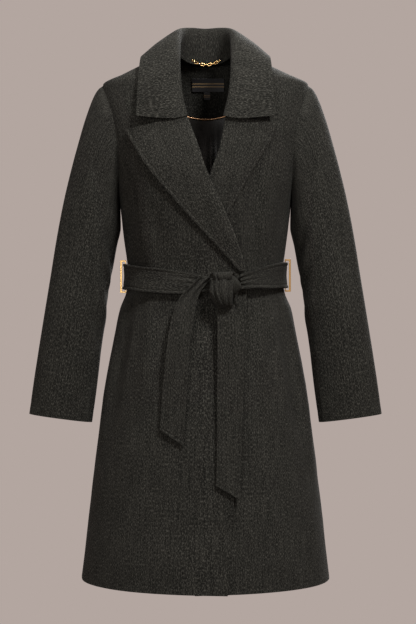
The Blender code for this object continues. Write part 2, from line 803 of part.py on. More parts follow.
def rectangle(curve, left, right, bottom, top, corner):
    """A closed outline with cut corners, in the curve's own plane."""
    points = []
    for x, y, turn_x, turn_y in (
        (left, bottom, 1, 1),
        (right, bottom, -1, 1),
        (right, top, -1, -1),
        (left, top, 1, -1),
    ):
        cut = [(x, y + turn_y * corner), (x + turn_x * corner, y)]
        points += cut if turn_x == turn_y else cut[::-1]
    spline = curve.splines.new("POLY")
    spline.points.add(len(points) - 1)
    spline.use_cyclic_u = True
    for point, (x, y) in zip(spline.points, points):
        point.co = (x, y, 0, 1)


def make_ring(name, side, height):
    curve = bpy.data.curves.new(name, "CURVE")
    curve.dimensions = "2D"
    curve.fill_mode = "BOTH"
    curve.extrude = RING_THICKNESS / 2
    half_across, half_up = RING_OPENING[0] / 2, RING_OPENING[1] / 2
    left = -half_across - (RING_INNER_BAR if side > 0 else RING_OUTER_BAR)
    right = half_across + (RING_OUTER_BAR if side > 0 else RING_INNER_BAR)
    outer_up = half_up + RING_END_BAR
    rectangle(curve, left, right, -outer_up, outer_up, 0.0012)
    rectangle(curve, -half_across, half_across, -half_up, half_up, 0.0004)
    curve.materials.append(GOLD)
    ring = bpy.data.objects.new(name, curve)
    ring.location = (side * RING_X, 0, height)
    ring.rotation_euler = (math.radians(90), 0, 0)
    COAT.objects.link(ring)


# ---- hanger chain, labels and piping inside the back neck ----------------------------

CHAIN_LINKS = 9
LINK_HALF_LENGTH = 0.0040  # of the wire's middle line
LINK_HALF_WIDTH = 0.0019
LINK_WIRE = 0.0006
LINK_PLAY = 0.0005
CHAIN_MIDDLE = (0.001, 0.0480, -0.0145)
CHAIN_HALF_SPAN = 0.0275
CHAIN_SAG = 0.0080  # its ends are this much higher than its middle
CHAIN_BOW = 0.0060  # and this much further forward, along the neck


def chain_stations():
    """x of each link's middle, a pitch apart along the hanging curve."""
    pitch = 2 * LINK_HALF_LENGTH - 2 * LINK_WIRE - LINK_PLAY
    half = [0.0]
    for _ in range(CHAIN_LINKS // 2):
        x = half[-1] + pitch / 2
        rise, bow = (2 * x * size / CHAIN_HALF_SPAN**2 for size in (CHAIN_SAG, CHAIN_BOW))
        half.append(half[-1] + pitch / math.sqrt(1 + rise**2 + bow**2))
    return [-x for x in half[:0:-1]] + half


def make_link(number):
    along = chain_stations()[number - 1]
    share = (along / CHAIN_HALF_SPAN) ** 2
    curve = bpy.data.curves.new(f"hanger_link_{number}", "CURVE")
    curve.dimensions = "3D"
    curve.bevel_depth = LINK_WIRE
    curve.bevel_resolution = 1
    spline = curve.splines.new("POLY")
    straight = LINK_HALF_LENGTH - LINK_HALF_WIDTH
    arc = [math.radians(-90 + 36 * k) for k in range(6)]
    points = [(straight + LINK_HALF_WIDTH * math.cos(a), LINK_HALF_WIDTH * math.sin(a)) for a in arc]
    points += [(-x, -y) for x, y in points]
    spline.points.add(len(points) - 1)
    for point, (x, y) in zip(spline.points, points):
        point.co = (x, 0, y, 1)
    spline.use_cyclic_u = True
    curve.materials.append(GOLD)
    link = bpy.data.objects.new(f"hanger_link_{number}", curve)
    middle_x, middle_y, middle_z = CHAIN_MIDDLE
    link.location = (middle_x + along, middle_y - CHAIN_BOW * share, middle_z + CHAIN_SAG * share)
    rise = math.atan(2 * along * CHAIN_SAG / CHAIN_HALF_SPAN**2)
    bow = math.atan(2 * along * CHAIN_BOW / CHAIN_HALF_SPAN**2)
    link.rotation_euler = (math.radians(90 * (number % 2)), -rise, -bow)
    COAT.objects.link(link)


LABEL = (-0.0250, 0.0345, -0.0570, -0.0330)  # left, right, bottom, top
SIZE_TAB = (-0.0030, 0.0085, -0.0715, -0.0578)
LABEL_CLOTH = 0.0008
LABEL_LIFT = FACING_LIFT - FACING_CLOTH - 0.0016


def on_back(x, height, lift):
    share = min(abs(x) / form_size("half_width", height), 1)
    turn = math.degrees(math.asin(share ** (BACK_POWER / 2)))
    return on_form(180 - math.copysign(turn, x), height, lift)


def make_label(name, size, columns, rows):
    left, right, bottom, top = size

    def place(i, j, layer):
        x = between(left, right, i / columns)
        height = between(bottom, top, j / rows)
        return on_back(x, height, LABEL_LIFT + (layer - 1) * LABEL_CLOTH)

    slab(name, columns, rows, place, LABEL_SATIN)


def make_piping():
    curve = bpy.data.curves.new("gold_piping", "CURVE")
    curve.dimensions = "3D"
    curve.bevel_depth = PIPING_RADIUS
    curve.bevel_resolution = 1
    curve.use_fill_caps = True
    spline = curve.splines.new("POLY")
    count = 2 * BACK_HALF_COLUMNS + 1
    spline.points.add(count - 1)
    for i, point in enumerate(spline.points):
        skins = [back_facing_place(i, FACING_ROWS, layer) for layer in (0, 1)]
        middle = (skins[0] + skins[1]) / 2
        point.co = (middle.x, middle.y, middle.z - PIPING_ROOM / 2, 1)
    curve.materials.append(PIPING)
    piping = bpy.data.objects.new("gold_piping", curve)
    COAT.objects.link(piping)


def make_trim():
    make_ring("left_belt_ring", 1, LEFT_RING_Z)
    make_ring("right_belt_ring", -1, RIGHT_RING_Z)
    for number in range(1, CHAIN_LINKS + 1):
        make_link(number)
    make_label("main_label", LABEL, 4, 2)
    make_label("size_tab", SIZE_TAB, 1, 1)
    make_piping()


make_body()
make_sleeves()
make_lapels_and_collar()
make_belt()
make_trim()
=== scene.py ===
import math

import bmesh
import bpy
from mathutils import Matrix, Vector, noise


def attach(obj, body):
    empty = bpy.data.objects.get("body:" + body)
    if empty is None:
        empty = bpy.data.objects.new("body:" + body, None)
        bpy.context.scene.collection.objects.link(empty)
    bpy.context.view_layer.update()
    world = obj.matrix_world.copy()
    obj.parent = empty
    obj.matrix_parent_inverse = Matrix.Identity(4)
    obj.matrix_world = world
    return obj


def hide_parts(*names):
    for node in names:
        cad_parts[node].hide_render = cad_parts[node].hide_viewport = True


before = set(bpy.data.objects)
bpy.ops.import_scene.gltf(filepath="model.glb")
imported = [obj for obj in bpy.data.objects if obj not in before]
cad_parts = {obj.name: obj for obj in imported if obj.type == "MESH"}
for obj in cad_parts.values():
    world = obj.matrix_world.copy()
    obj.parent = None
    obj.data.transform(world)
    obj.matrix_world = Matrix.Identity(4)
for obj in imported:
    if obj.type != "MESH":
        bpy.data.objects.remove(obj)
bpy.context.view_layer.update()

# ---- camera --------------------------------------------------------------------------
# A level portrait lens in front of the coat, aimed a little above its belt.

CAMERA_DISTANCE = 3.2
CAMERA_X = 0.0045
CAMERA_Z = -0.466
PICTURE_HEIGHT = 1.123  # that the picture takes in at the coat's middle
SENSOR_HEIGHT = 0.024

lens_data = bpy.data.cameras.new("portrait_lens")
lens_data.sensor_fit = "VERTICAL"
lens_data.sensor_height = SENSOR_HEIGHT * 1000
lens_data.lens = 1000 * SENSOR_HEIGHT * CAMERA_DISTANCE / PICTURE_HEIGHT
lens_data.clip_end = 100
camera = bpy.data.objects.new("portrait_camera", lens_data)
camera.location = (CAMERA_X, -CAMERA_DISTANCE, CAMERA_Z)
camera.rotation_euler = (math.radians(90), 0, 0)
bpy.context.scene.collection.objects.link(camera)
bpy.context.scene.camera = camera

# ---- studio --------------------------------------------------------------------------
# A plain pale taupe room: an even backdrop all round and a floor of the same paint, lit
# by large soft boxes in front, above and behind.

BACKDROP = (0.4508, 0.3813, 0.3515, 1)
FLOOR_Z = -1.42  # under the feet of whoever wears the coat
FLOOR_SIZE = 60

scene = bpy.context.scene
scene.view_settings.view_transform = "Standard"
world = bpy.data.worlds.new("studio_air")
world.use_nodes = True
world.node_tree.nodes["Background"].inputs["Color"].default_value = BACKDROP
world.node_tree.nodes["Background"].inputs["Strength"].default_value = 1.0
scene.world = world

paint = bpy.data.materials.new("taupe_floor_paint")
paint.use_nodes = True
paint_shader = paint.node_tree.nodes["Principled BSDF"]
paint_shader.inputs["Base Color"].default_value = (0, 0, 0, 1)
paint_shader.inputs["Specular IOR Level"].default_value = 0
paint_shader.inputs["Roughness"].default_value = 1
paint_shader.inputs["Emission Color"].default_value = BACKDROP
paint_shader.inputs["Emission Strength"].default_value = 1.0

floor_mesh = bpy.data.meshes.new("floor")
floor_bm = bmesh.new()
bmesh.ops.create_grid(floor_bm, x_segments=1, y_segments=1, size=FLOOR_SIZE / 2)
floor_bm.to_mesh(floor_mesh)
floor_bm.free()
floor_mesh.materials.append(paint)
floor = bpy.data.objects.new("floor", floor_mesh)
floor.location = (0, 0, FLOOR_Z)
scene.collection.objects.link(floor)


def soft_box(name, place, aim, width, height, power):
    """A rectangular soft box at a place, turned to the point it aims at."""
    lamp = bpy.data.lights.new(name, "AREA")
    lamp.shape = "RECTANGLE"
    lamp.size, lamp.size_y = width, height
    lamp.energy = power
    box = bpy.data.objects.new(name, lamp)
    box.location = place
    box.rotation_euler = (Vector(aim) - Vector(place)).to_track_quat("-Z", "Y").to_euler()
    scene.collection.objects.link(box)


soft_box("key_box", (1.25, -2.15, 2.0), (0, 0, -0.45), 0.6, 0.6, 160)
soft_box("fill_box", (-1.1, -3.3, -0.1), (0, 0, -0.50), 1.0, 1.8, 38)
soft_box("top_box", (0, -0.5, 2.4), (0, 0, -0.40), 1.4, 1.0, 60)
soft_box("back_box", (1.2, 2.6, 1.4), (0, 0, -0.45), 1.4, 1.4, 240)

# ---- charcoal wool -------------------------------------------------------------------
# The outer cloth: a soft brushed wool whose charcoal yarn holds lighter grey fibres, in
# short streaks along the grain. Its pattern follows each piece's grain through its UV map.

CHARCOAL = (0.0022, 0.0022, 0.0019)
GREY_FIBRE = (0.081, 0.078, 0.066)
FLECK_WIDTH = 0.0013  # of one streak across the grain
FLECK_LENGTH = 0.0042
FLECK_SHARE = 0.42  # of the grey that a fleck adds
FIBRE_SIZE = (0.0007, 0.0016)  # of the fine fuzz, across and along the grain
FIBRE_SHARE = 0.12
RIB_SIZE = (0.0021, 0.060)  # of the faint long lines of the weave
RIB_SHARE = 0.08
CLOUD_SIZE = (0.035, 0.060)  # of the yarn's slow change of shade
NAP_HEIGHT = 0.0007


def node(tree, kind, **settings):
    """A new node of a material, with its settings."""
    made = tree.nodes.new(kind)
    for name, value in settings.items():
        setattr(made, name, value)
    return made


def grain_noise(tree, grain, across, along, detail, roughness=0.6):
    """Noise whose cells are this wide across the grain and this long along it."""
    mapping = node(tree, "ShaderNodeMapping")
    mapping.inputs["Scale"].default_value = (1 / across, 1 / along, 1)
    tree.links.new(grain, mapping.inputs["Vector"])
    texture = node(tree, "ShaderNodeTexNoise", noise_dimensions="2D")
    texture.inputs["Scale"].default_value = 1
    texture.inputs["Detail"].default_value = detail
    texture.inputs["Roughness"].default_value = roughness
    tree.links.new(mapping.outputs["Vector"], texture.inputs["Vector"])
    return texture.outputs["Fac"]


def spread(tree, value, low, high, to_low=0.0, to_high=1.0):
    """The value's range from low to high, stretched to a new one."""
    ramp = node(tree, "ShaderNodeMapRange")
    for name, number in (
        ("From Min", low), ("From Max", high), ("To Min", to_low), ("To Max", to_high)
    ):
        ramp.inputs[name].default_value = number
    tree.links.new(value, ramp.inputs["Value"])
    return ramp.outputs["Result"]


def result_of(tree, operation, first, second):
    """The result of a sum, where each side is a number or another node's output."""
    made = node(tree, "ShaderNodeMath", operation=operation)
    for socket, value in zip(made.inputs, (first, second)):
        if isinstance(value, (int, float)):
            socket.default_value = value
        else:
            tree.links.new(value, socket)
    return made.outputs[0]


def wool_cloth(name, shade=1.0):
    """The wool, with its colours made lighter or darker by the shade."""
    material = bpy.data.materials.new(name)
    material.use_nodes = True
    tree = material.node_tree
    shader = tree.nodes["Principled BSDF"]
    grain = node(tree, "ShaderNodeTexCoord").outputs["UV"]
    flecks = spread(tree, grain_noise(tree, grain, FLECK_WIDTH, FLECK_LENGTH, 2.0), 0.48, 0.74)
    fibres = spread(tree, grain_noise(tree, grain, *FIBRE_SIZE, 1.0), 0.35, 0.75)
    ribs = spread(tree, grain_noise(tree, grain, *RIB_SIZE, 1.0), 0.35, 0.70)
    clouds = spread(tree, grain_noise(tree, grain, *CLOUD_SIZE, 2.0), 0.3, 0.7, 0.86, 1.08)
    pale = result_of(tree, "MULTIPLY", flecks, FLECK_SHARE)
    for pattern, share in ((ribs, RIB_SHARE), (fibres, FIBRE_SHARE)):
        pale = result_of(tree, "ADD", pale, result_of(tree, "MULTIPLY", pattern, share))
    pale = result_of(tree, "MULTIPLY", pale, clouds)
    colour = node(tree, "ShaderNodeMix", data_type="RGBA")
    colour.inputs["A"].default_value = (*(shade * c for c in CHARCOAL), 1)
    colour.inputs["B"].default_value = (*(shade * c for c in GREY_FIBRE), 1)
    tree.links.new(pale, colour.inputs["Factor"])
    tree.links.new(colour.outputs["Result"], shader.inputs["Base Color"])
    bump = node(tree, "ShaderNodeBump")
    bump.inputs["Strength"].default_value = 0.8
    bump.inputs["Distance"].default_value = NAP_HEIGHT
    tree.links.new(pale, bump.inputs["Height"])
    tree.links.new(bump.outputs["Normal"], shader.inputs["Normal"])
    shader.inputs["Roughness"].default_value = 0.95
    shader.inputs["Specular IOR Level"].default_value = 0.05
    shader.inputs["Sheen Weight"].default_value = 0.012
    shader.inputs["Sheen Roughness"].default_value = 0.55
    shader.inputs["Sheen Tint"].default_value = (0.80, 0.78, 0.75, 1)
    return material


wool = wool_cloth("charcoal_wool_cloth")

# ---- back ----------------------------------------------------------------------------
# One wool panel from side seam to side seam, shaped over the shoulder blades and the
# waist. It is sewn to the fronts at the shoulders and the sides. Every body piece is laid
# on one form, at its own lift above it.

CLOTH = 0.003
SEAM_ANGLE = 0.002
SHOULDER_X = 0.184
SHOULDER_Z = -0.058
NECK_POINT_X = 0.067
UNDERARM_Z = -0.265
HEM_Z = -0.942
HEM_TURN_UP = 0.042
HEM_FULLNESS = 0.0006
FRONT_POWER = 2.3
BACK_POWER = 2.4
EDGE_ROUND = 0.0010
SHARP_ANGLE = math.radians(50)
FORM_BOTTOM = -0.96
RUMPLES = ((0.0007, 14), (0.0004, 38))  # the depth of each, and how closely it comes
GRAIN_EASE = 1.04

FORM_COLUMNS = ("height", "half_width", "front_depth", "back_depth")
FORM = (
    (0.000, 0.067, 0.058, 0.062),
    (-0.020, 0.108, 0.068, 0.074),
    (-0.040, 0.149, 0.077, 0.084),
    (-0.058, 0.184, 0.084, 0.091),
    (-0.090, 0.188, 0.094, 0.100),
    (-0.160, 0.178, 0.111, 0.108),
    (-0.230, 0.162, 0.120, 0.108),
    (-0.265, 0.155, 0.119, 0.105),
    (-0.330, 0.1470, 0.111, 0.098),
    (-0.370, 0.1415, 0.104, 0.093),
    (-0.400, 0.1385, 0.101, 0.090),
    (-0.430, 0.1420, 0.103, 0.092),
    (-0.460, 0.1535, 0.108, 0.099),
    (-0.520, 0.166, 0.119, 0.113),
    (-0.600, 0.181, 0.129, 0.125),
    (-0.700, 0.194, 0.138, 0.134),
    (-0.800, 0.206, 0.145, 0.141),
    (-0.960, 0.224, 0.154, 0.151),
)

# The soft folds that the cloth falls in, with columns angle, half_angle, depth, top, bottom
# and lean. A negative depth is a trough.
FOLDS = (
    (-34, 5, 0.0055, -0.435, -0.66, 2),
    (33, 5, 0.0050, -0.435, -0.68, -2),
    (-58, 8, -0.0075, -0.43, -0.74, -4),
    (56, 8, -0.0085, -0.43, -0.80, 5),
    (-18, 4, -0.0018, -0.44, -0.56, 3),
    (45, 4, 0.0022, -0.44, -0.70, 3),
    (-46, 4, 0.0020, -0.44, -0.66, -3),
    (70, 6, 0.0028, -0.45, -0.78, 3),
    (-72, 6, 0.0024, -0.45, -0.76, -3),
    (-30, 6, -0.0052, -0.27, -0.39, 0),
    (29, 6, -0.0080, -0.17, -0.40, 2),
    (42, 5, 0.0022, -0.25, -0.39, 4),
    (-44, 5, 0.0020, -0.28, -0.39, -4),
    (62, 7, -0.0026, -0.24, -0.38, 4),
    (-63, 7, -0.0024, -0.25, -0.38, -4),
    (148, 10, 0.0055, -0.46, -0.90, -3),
    (205, 12, -0.0060, -0.45, -0.88, 3),
    (236, 9, 0.0050, -0.46, -0.86, 4),
    (122, 8, -0.0045, -0.45, -0.82, -4),
    (160, 7, -0.0030, -0.20, -0.38, 4),
    (201, 7, -0.0030, -0.20, -0.38, -4),
    (176, 8, 0.0020, -0.25, -0.39, 0),
)


def smooth_through(stations, values, at):
    """A smooth curve through a table's values that never swings past them."""
    if stations[0] > stations[-1]:
        stations, values = stations[::-1], values[::-1]
    steps = [b - a for a, b in zip(stations, stations[1:])]
    slopes = [(b - a) / s for a, b, s in zip(values, values[1:], steps)]
    inner = [2 * p * q / (p + q) if p * q > 0 else 0.0 for p, q in zip(slopes, slopes[1:])]
    tangents = [slopes[0], *inner, slopes[-1]]
    at = min(max(at, stations[0]), stations[-1])
    k = max(i for i in range(len(steps)) if stations[i] <= at)
    u = (at - stations[k]) / steps[k]
    start = values[k] * (2 * u**3 - 3 * u**2 + 1) + values[k + 1] * (3 * u**2 - 2 * u**3)
    bend = tangents[k] * (u**3 - 2 * u**2 + u) + tangents[k + 1] * (u**3 - u**2)
    return start + bend * steps[k]


def column(table, name_list, name):
    """One named column of a table."""
    place = name_list.index(name)
    return [row[place] for row in table]


def fine_curve(table, name_list, name, top, bottom, key="height", steps=1000):
    """A table's column, read once at even heights, so that each later look-up is quick."""
    stations, values = column(table, name_list, key), column(table, name_list, name)
    step = (bottom - top) / steps
    fine = [smooth_through(stations, values, top + step * k) for k in range(steps + 2)]

    def read(height):
        at = min(max((height - top) / step, 0), steps)
        k = int(at)
        return fine[k] + (fine[k + 1] - fine[k]) * (at - k)

    return read


half_width_at = fine_curve(FORM, FORM_COLUMNS, "half_width", 0.0, FORM_BOTTOM)
front_depth_at = fine_curve(FORM, FORM_COLUMNS, "front_depth", 0.0, FORM_BOTTOM)
back_depth_at = fine_curve(FORM, FORM_COLUMNS, "back_depth", 0.0, FORM_BOTTOM)


def bell(away, reach):
    """1 at the middle, falling smoothly away to either side."""
    return math.exp(-((away / reach) ** 2))


def within(share):
    """The share, kept from 0 to 1."""
    return min(max(share, 0), 1)


def half_form(front, height):
    """(depth, power) of the form's front or back half at a height."""
    if front:
        return front_depth_at(height), FRONT_POWER
    return back_depth_at(height), BACK_POWER


def fold_lift(angle, height):
    """How far the soft folds push the cloth out here."""
    lift = 0.0
    for middle, half_angle, depth, top, bottom, lean in FOLDS:
        if not bottom < height < top:
            continue
        share = (height - bottom) / (top - bottom)
        away = (angle - middle - lean * (1 - share) + 180) % 360 - 180
        if abs(away) < 3 * half_angle:
            along = math.sin(math.pi * share ** 1.3)
            lift += depth * along * bell(away, half_angle)
    return lift


def form_skin(angle, height):
    """The form's point at an angle in degrees: 0 is the centre front, 90 the left side."""
    turn = math.radians(angle)
    sine, cosine = math.sin(turn), math.cos(turn)
    depth, power = half_form(cosine > 0, height)
    x = half_width_at(height) * math.copysign(abs(sine) ** (2 / power), sine)
    y = -depth * math.copysign(abs(cosine) ** (2 / power), cosine)
    return Vector((x, y, height))


def on_form(angle, height, lift=0.0):
    """The form's point, moved out along the form's own normal."""
    across = form_skin(angle + 0.5, height) - form_skin(angle - 0.5, height)
    up = form_skin(angle, min(height + 0.001, 0)) - form_skin(angle, height - 0.002)
    normal = across.cross(up).normalized()
    skin = form_skin(angle, height)
    rumple = sum(depth * noise.noise(skin * closeness) for depth, closeness in RUMPLES)
    return skin + normal * (lift + fold_lift(angle, height) + rumple)


def body_grain(angle, height):
    """Flat-pattern place of a body point: across the grain from the front or back middle."""
    middle = 0 if abs(angle) <= 90.5 else 180
    turn = math.radians(angle - middle)
    radius = 0.5 * (half_width_at(height) + front_depth_at(height)) * GRAIN_EASE
    return (turn * radius, height)


def between(start, end, share):
    """The value this share of the way from start to end."""
    return start + (end - start) * share


def lay_cloth(name, columns, rows, place, material, round_edges=EDGE_ROUND):
    """A slab of cloth, cut as a flat grid, given its thickness and laid in place.
    place(across, along, layer) gives a point and its place on the grain, with across and
    along from 0 to 1 and layer 0 for the hidden skin and 1 for the one that shows."""
    mesh = bpy.data.meshes.new(name)
    bm = bmesh.new()
    bmesh.ops.create_grid(bm, x_segments=columns, y_segments=rows, size=0.5)
    raised = bmesh.ops.extrude_face_region(bm, geom=bm.faces[:])["geom"]
    bmesh.ops.translate(
        bm, vec=(0, 0, 1), verts=[v for v in raised if isinstance(v, bmesh.types.BMVert)]
    )
    grain = {}
    for vert in bm.verts:
        across = round((vert.co.x + 0.5) * columns) / columns
        along = round((vert.co.y + 0.5) * rows) / rows
        vert.co, grain[vert] = place(across, along, round(vert.co.z))
    uv_layer = bm.loops.layers.uv.new("grain")
    for face in bm.faces:
        for loop in face.loops:
            loop[uv_layer].uv = grain[loop.vert]
    bmesh.ops.recalc_face_normals(bm, faces=bm.faces)
    bm.to_mesh(mesh)
    bm.free()
    mesh.materials.append(material)
    mesh.shade_smooth()
    mesh.set_sharp_from_angle(angle=SHARP_ANGLE)
    piece = bpy.data.objects.new(name, mesh)
    scene.collection.objects.link(piece)
    if round_edges:
        rounding = piece.modifiers.new("rounded_edges", "BEVEL")
        rounding.width = round_edges
        rounding.segments = 2
        rounding.limit_method = "ANGLE"
        rounding.angle_limit = SHARP_ANGLE
        rounding.use_clamp_overlap = True
        rounding.harden_normals = False
    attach(piece, "root")
    return piece


PANEL_HEIGHTS = (-0.86, -0.77, -0.68, -0.60, -0.53, -0.475, -0.43, -0.394, -0.355, -0.31)
ROWS_BELOW = len(PANEL_HEIGHTS) + 1
ARMHOLE_STEPS = 8
PANEL_ROWS = ROWS_BELOW + ARMHOLE_STEPS
ARMHOLE_HALF_DEPTH = 0.060
ARMHOLE_MIDDLE = (SHOULDER_Z + UNDERARM_Z) / 2
ARMHOLE_HALF_HEIGHT = (SHOULDER_Z - UNDERARM_Z) / 2
BACK_NECK_DROP = 0.014
BACK_TOP_SPREAD = 1.15  # how late the rows turn from level to the shoulder's slope
ROW_SPLITS = 8


def read_list(values, at):
    """A list's value at a fractional place."""
    k = min(int(at), len(values) - 2)
    return between(values[k], values[k + 1], at - k)


def armhole_point(turn):
    """(y, height) on the armhole: turn 0 is the shoulder point, 90 the front, 180 the
    underarm and 270 the back."""
    y = -ARMHOLE_HALF_DEPTH * math.sin(math.radians(turn))
    return y, ARMHOLE_MIDDLE + ARMHOLE_HALF_HEIGHT * math.cos(math.radians(turn))


def armhole_angle(turn, front):
    """(angle, height) of an armhole point, on the left side."""
    y, height = armhole_point(turn)
    depth, power = half_form(front, height)
    angle = math.degrees(math.acos(min(abs(y) / depth, 1) ** (power / 2)))
    angle = min(angle, 90 - SEAM_ANGLE)
    return (angle if front else 180 - angle), height


def outer_edge(row, front):
    """(angle, height) of a body panel's side seam or armhole at this row, left side."""
    seam = 90 - SEAM_ANGLE if front else 90 + SEAM_ANGLE
    if row <= ROWS_BELOW:
        return seam, read_list((HEM_Z, *PANEL_HEIGHTS, UNDERARM_Z), row)
    turn = 180 - (row - ROWS_BELOW) * 180 / ARMHOLE_STEPS
    return armhole_angle(turn if front else 360 - turn, front)


def shoulder_and_neck(share, neck_x, neck_place):
    """(angle, height) along the top of a half back: the shoulder seam from the armhole to
    the neck, then the neck curve to the centre back."""
    if share <= 0.5:
        x = between(SHOULDER_X, neck_x, share / 0.5)
        drop = (x - NECK_POINT_X) / (SHOULDER_X - NECK_POINT_X)
        return 90 + SEAM_ANGLE, drop * SHOULDER_Z
    return neck_place((share - 0.5) / 0.5)


def back_neckline(along):
    """(angle, height) along the neck from the shoulder seam to the centre back."""
    drop = BACK_NECK_DROP * math.sin(math.radians(90 * along))
    return between(90 + SEAM_ANGLE, 180, along**0.8), -drop


def back_shape(neck_x, neck_place, hem, lift_of, thickness):
    """The place function of the back or of its lining."""

    def half_point(share, row):
        outer_angle, outer_height = outer_edge(row, False)
        centre_top = neck_place(1)[1]
        if row <= ROWS_BELOW:
            outer_height = max(outer_height, hem) if row >= 1 else between(
                hem, PANEL_HEIGHTS[0], row
            )
            centre_height = outer_height
        else:
            centre_height = between(UNDERARM_Z, centre_top, (row - ROWS_BELOW) / ARMHOLE_STEPS)
        angle = between(outer_angle, 180, share)
        height = between(outer_height, centre_height, share)
        weight = max((row - ROWS_BELOW) / ARMHOLE_STEPS, 0) ** BACK_TOP_SPREAD
        top_angle, top_height = shoulder_and_neck(share, neck_x, neck_place)
        start = shoulder_and_neck(0, neck_x, neck_place)
        angle += weight * (top_angle - between(start[0], 180, share))
        height += weight * (top_height - between(start[1], centre_top, share))
        return angle, height

    def place(across, along, layer):
        share = 2 * across
        if share <= 1:
            angle, height = half_point(share, along * PANEL_ROWS)
        else:
            angle, height = half_point(2 - share, along * PANEL_ROWS)
            angle = 360 - angle
        point = on_form(angle, height, lift_of(height) + (layer - 1) * thickness)
        return point, body_grain(angle, height)

    return place


def back_lift(height):
    """The hem's turned-up layer makes the cloth a little fuller at the bottom."""
    return HEM_FULLNESS if height < HEM_Z + HEM_TURN_UP else 0.0


back = lay_cloth(
    "wool_back", 96, PANEL_ROWS * ROW_SPLITS,
    back_shape(NECK_POINT_X, back_neckline, HEM_Z, back_lift, CLOTH), wool,
)
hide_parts("back")

# ---- fronts --------------------------------------------------------------------------
# Two wool panels, sewn to the back at the sides and the shoulders. The wearer's right one
# laps over the left one and stands off it a little over the lapels under it. Their free
# edges are turned in and topstitched.

EDGE_COLUMNS = ("height", "over_x", "under_x")
FRONT_EDGES = (
    (-0.953, 0.038, -0.018),
    (-0.788, 0.049, -0.030),
    (-0.600, 0.064, -0.044),
    (-0.433, 0.069, -0.058),
    (-0.394, 0.063, -0.057),
    (-0.367, 0.0570, -0.047),
    (-0.327, 0.0440, -0.030),
    (-0.280, 0.0250, -0.010),
    (-0.239, 0.0070, 0.0070),
    (-0.211, -0.0055, 0.0170),
    (-0.183, -0.0140, 0.0270),
    (-0.1265, -0.0345, 0.0390),
    (-0.090, -0.0470, 0.0480),
    (-0.060, -0.0560, 0.0565),
    (-0.030, -0.0620, 0.0620),
    (-0.012, -0.0650, 0.0650),
    (0.000, -0.0670, 0.0670),
)
NECK_HEIGHTS = (-0.265, -0.225, -0.183, -0.150, -0.1265, -0.090, -0.055, -0.024, 0.0)
OVERLAP_COLUMNS = ("height", "lift")
OVERLAP = (
    (-0.96, 0.0045),
    (-0.60, 0.0045),
    (-0.45, 0.0090),
    (-0.40, 0.0135),
    (-0.22, 0.0135),
    (-0.17, 0.0080),
    (-0.12, 0.0020),
    (-0.07, 0.0),
    (0.0, 0.0),
)
OVERLAP_FULL_ANGLE = -30
OVERLAP_NO_ANGLE = -60
STITCH_INSET = 0.0060  # of the topstitching from the edge
STITCH_DEPTH = 0.0007
STITCH_REACH = 0.0012
EDGE_RIDGE = 0.0006
FRONT_COLUMN_PULL = 1.6  # draws the grid's columns towards the free edge
FRONT_BOTTOM = -0.953

over_edge_at = fine_curve(FRONT_EDGES, EDGE_COLUMNS, "over_x", 0.0, FRONT_BOTTOM)
under_edge_at = fine_curve(FRONT_EDGES, EDGE_COLUMNS, "under_x", 0.0, FRONT_BOTTOM)
overlap_at = fine_curve(OVERLAP, OVERLAP_COLUMNS, "lift", 0.0, FORM_BOTTOM)


def angle_of(x, height):
    """The angle at which the form's front is this far from its middle."""
    share = min(abs(x) / half_width_at(height), 1)
    return math.copysign(math.degrees(math.asin(share ** (FRONT_POWER / 2))), x)


def eased(share):
    """The share from 0 to 1, with a slow start and a slow end."""
    share = within(share)
    return share * share * (3 - 2 * share)


def over_lift(angle, height):
    """The over front's lift above the form."""
    share = (angle - OVERLAP_NO_ANGLE) / (OVERLAP_FULL_ANGLE - OVERLAP_NO_ANGLE)
    return overlap_at(height) * eased(share)


def under_lift(_angle, _height):
    """The under front lies straight on the form."""
    return 0.0


def stitched_edge(distance):
    """The lift of a turned and topstitched edge, this far in from it."""
    groove = bell(distance - STITCH_INSET, STITCH_REACH)
    ridge = bell(distance - 0.4 * STITCH_INSET, 0.35 * STITCH_INSET)
    return EDGE_RIDGE * ridge - STITCH_DEPTH * groove


def front_shape(side, edge_at, lift_of):
    """The place function of a front: side is 1 for the wearer's left."""

    def place(across, along, layer):
        row = along * PANEL_ROWS
        share = 1 - (1 - across) ** FRONT_COLUMN_PULL
        outer_angle, outer_height = outer_edge(row, True)
        if row <= 1:
            inner_height = between(FRONT_BOTTOM, PANEL_HEIGHTS[0], row)
        elif row <= ROWS_BELOW:
            inner_height = outer_height
        else:
            inner_height = read_list(NECK_HEIGHTS, row - ROWS_BELOW)
        edge = edge_at(inner_height)
        inner_angle = angle_of(edge, inner_height)
        if abs(inner_angle) > 90 - SEAM_ANGLE:
            inner_angle = math.copysign(90 - SEAM_ANGLE, inner_angle)
        angle = between(side * outer_angle, inner_angle, share)
        height = between(outer_height, inner_height, share)
        lift = lift_of(angle, height)
        if layer:
            width = abs(edge - side * half_width_at(height))
            lift += stitched_edge((1 - share) * width)
        point = on_form(angle, height, lift + (layer - 1) * CLOTH)
        return point, body_grain(angle, height)

    return place


for side_name, side, edge_at, lift_of, flat, area in (
    ("right", -1, over_edge_at, over_lift, (0.344, 1.04), 0.256),
    ("left", 1, under_edge_at, under_lift, (0.321, 1.03), 0.237),
):
    front = lay_cloth(
        f"{side_name}_front_panel", 76, PANEL_ROWS * ROW_SPLITS,
        front_shape(side, edge_at, lift_of), wool,
    )
    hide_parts(f"{side_name}_front")

# ---- sleeves -------------------------------------------------------------------------
# Two-piece wool sleeves, each of a wide top part and a narrow under part, seamed at the
# front and the back of the arm and set into the armhole. They hang empty and fall in
# soft creases at the elbow.

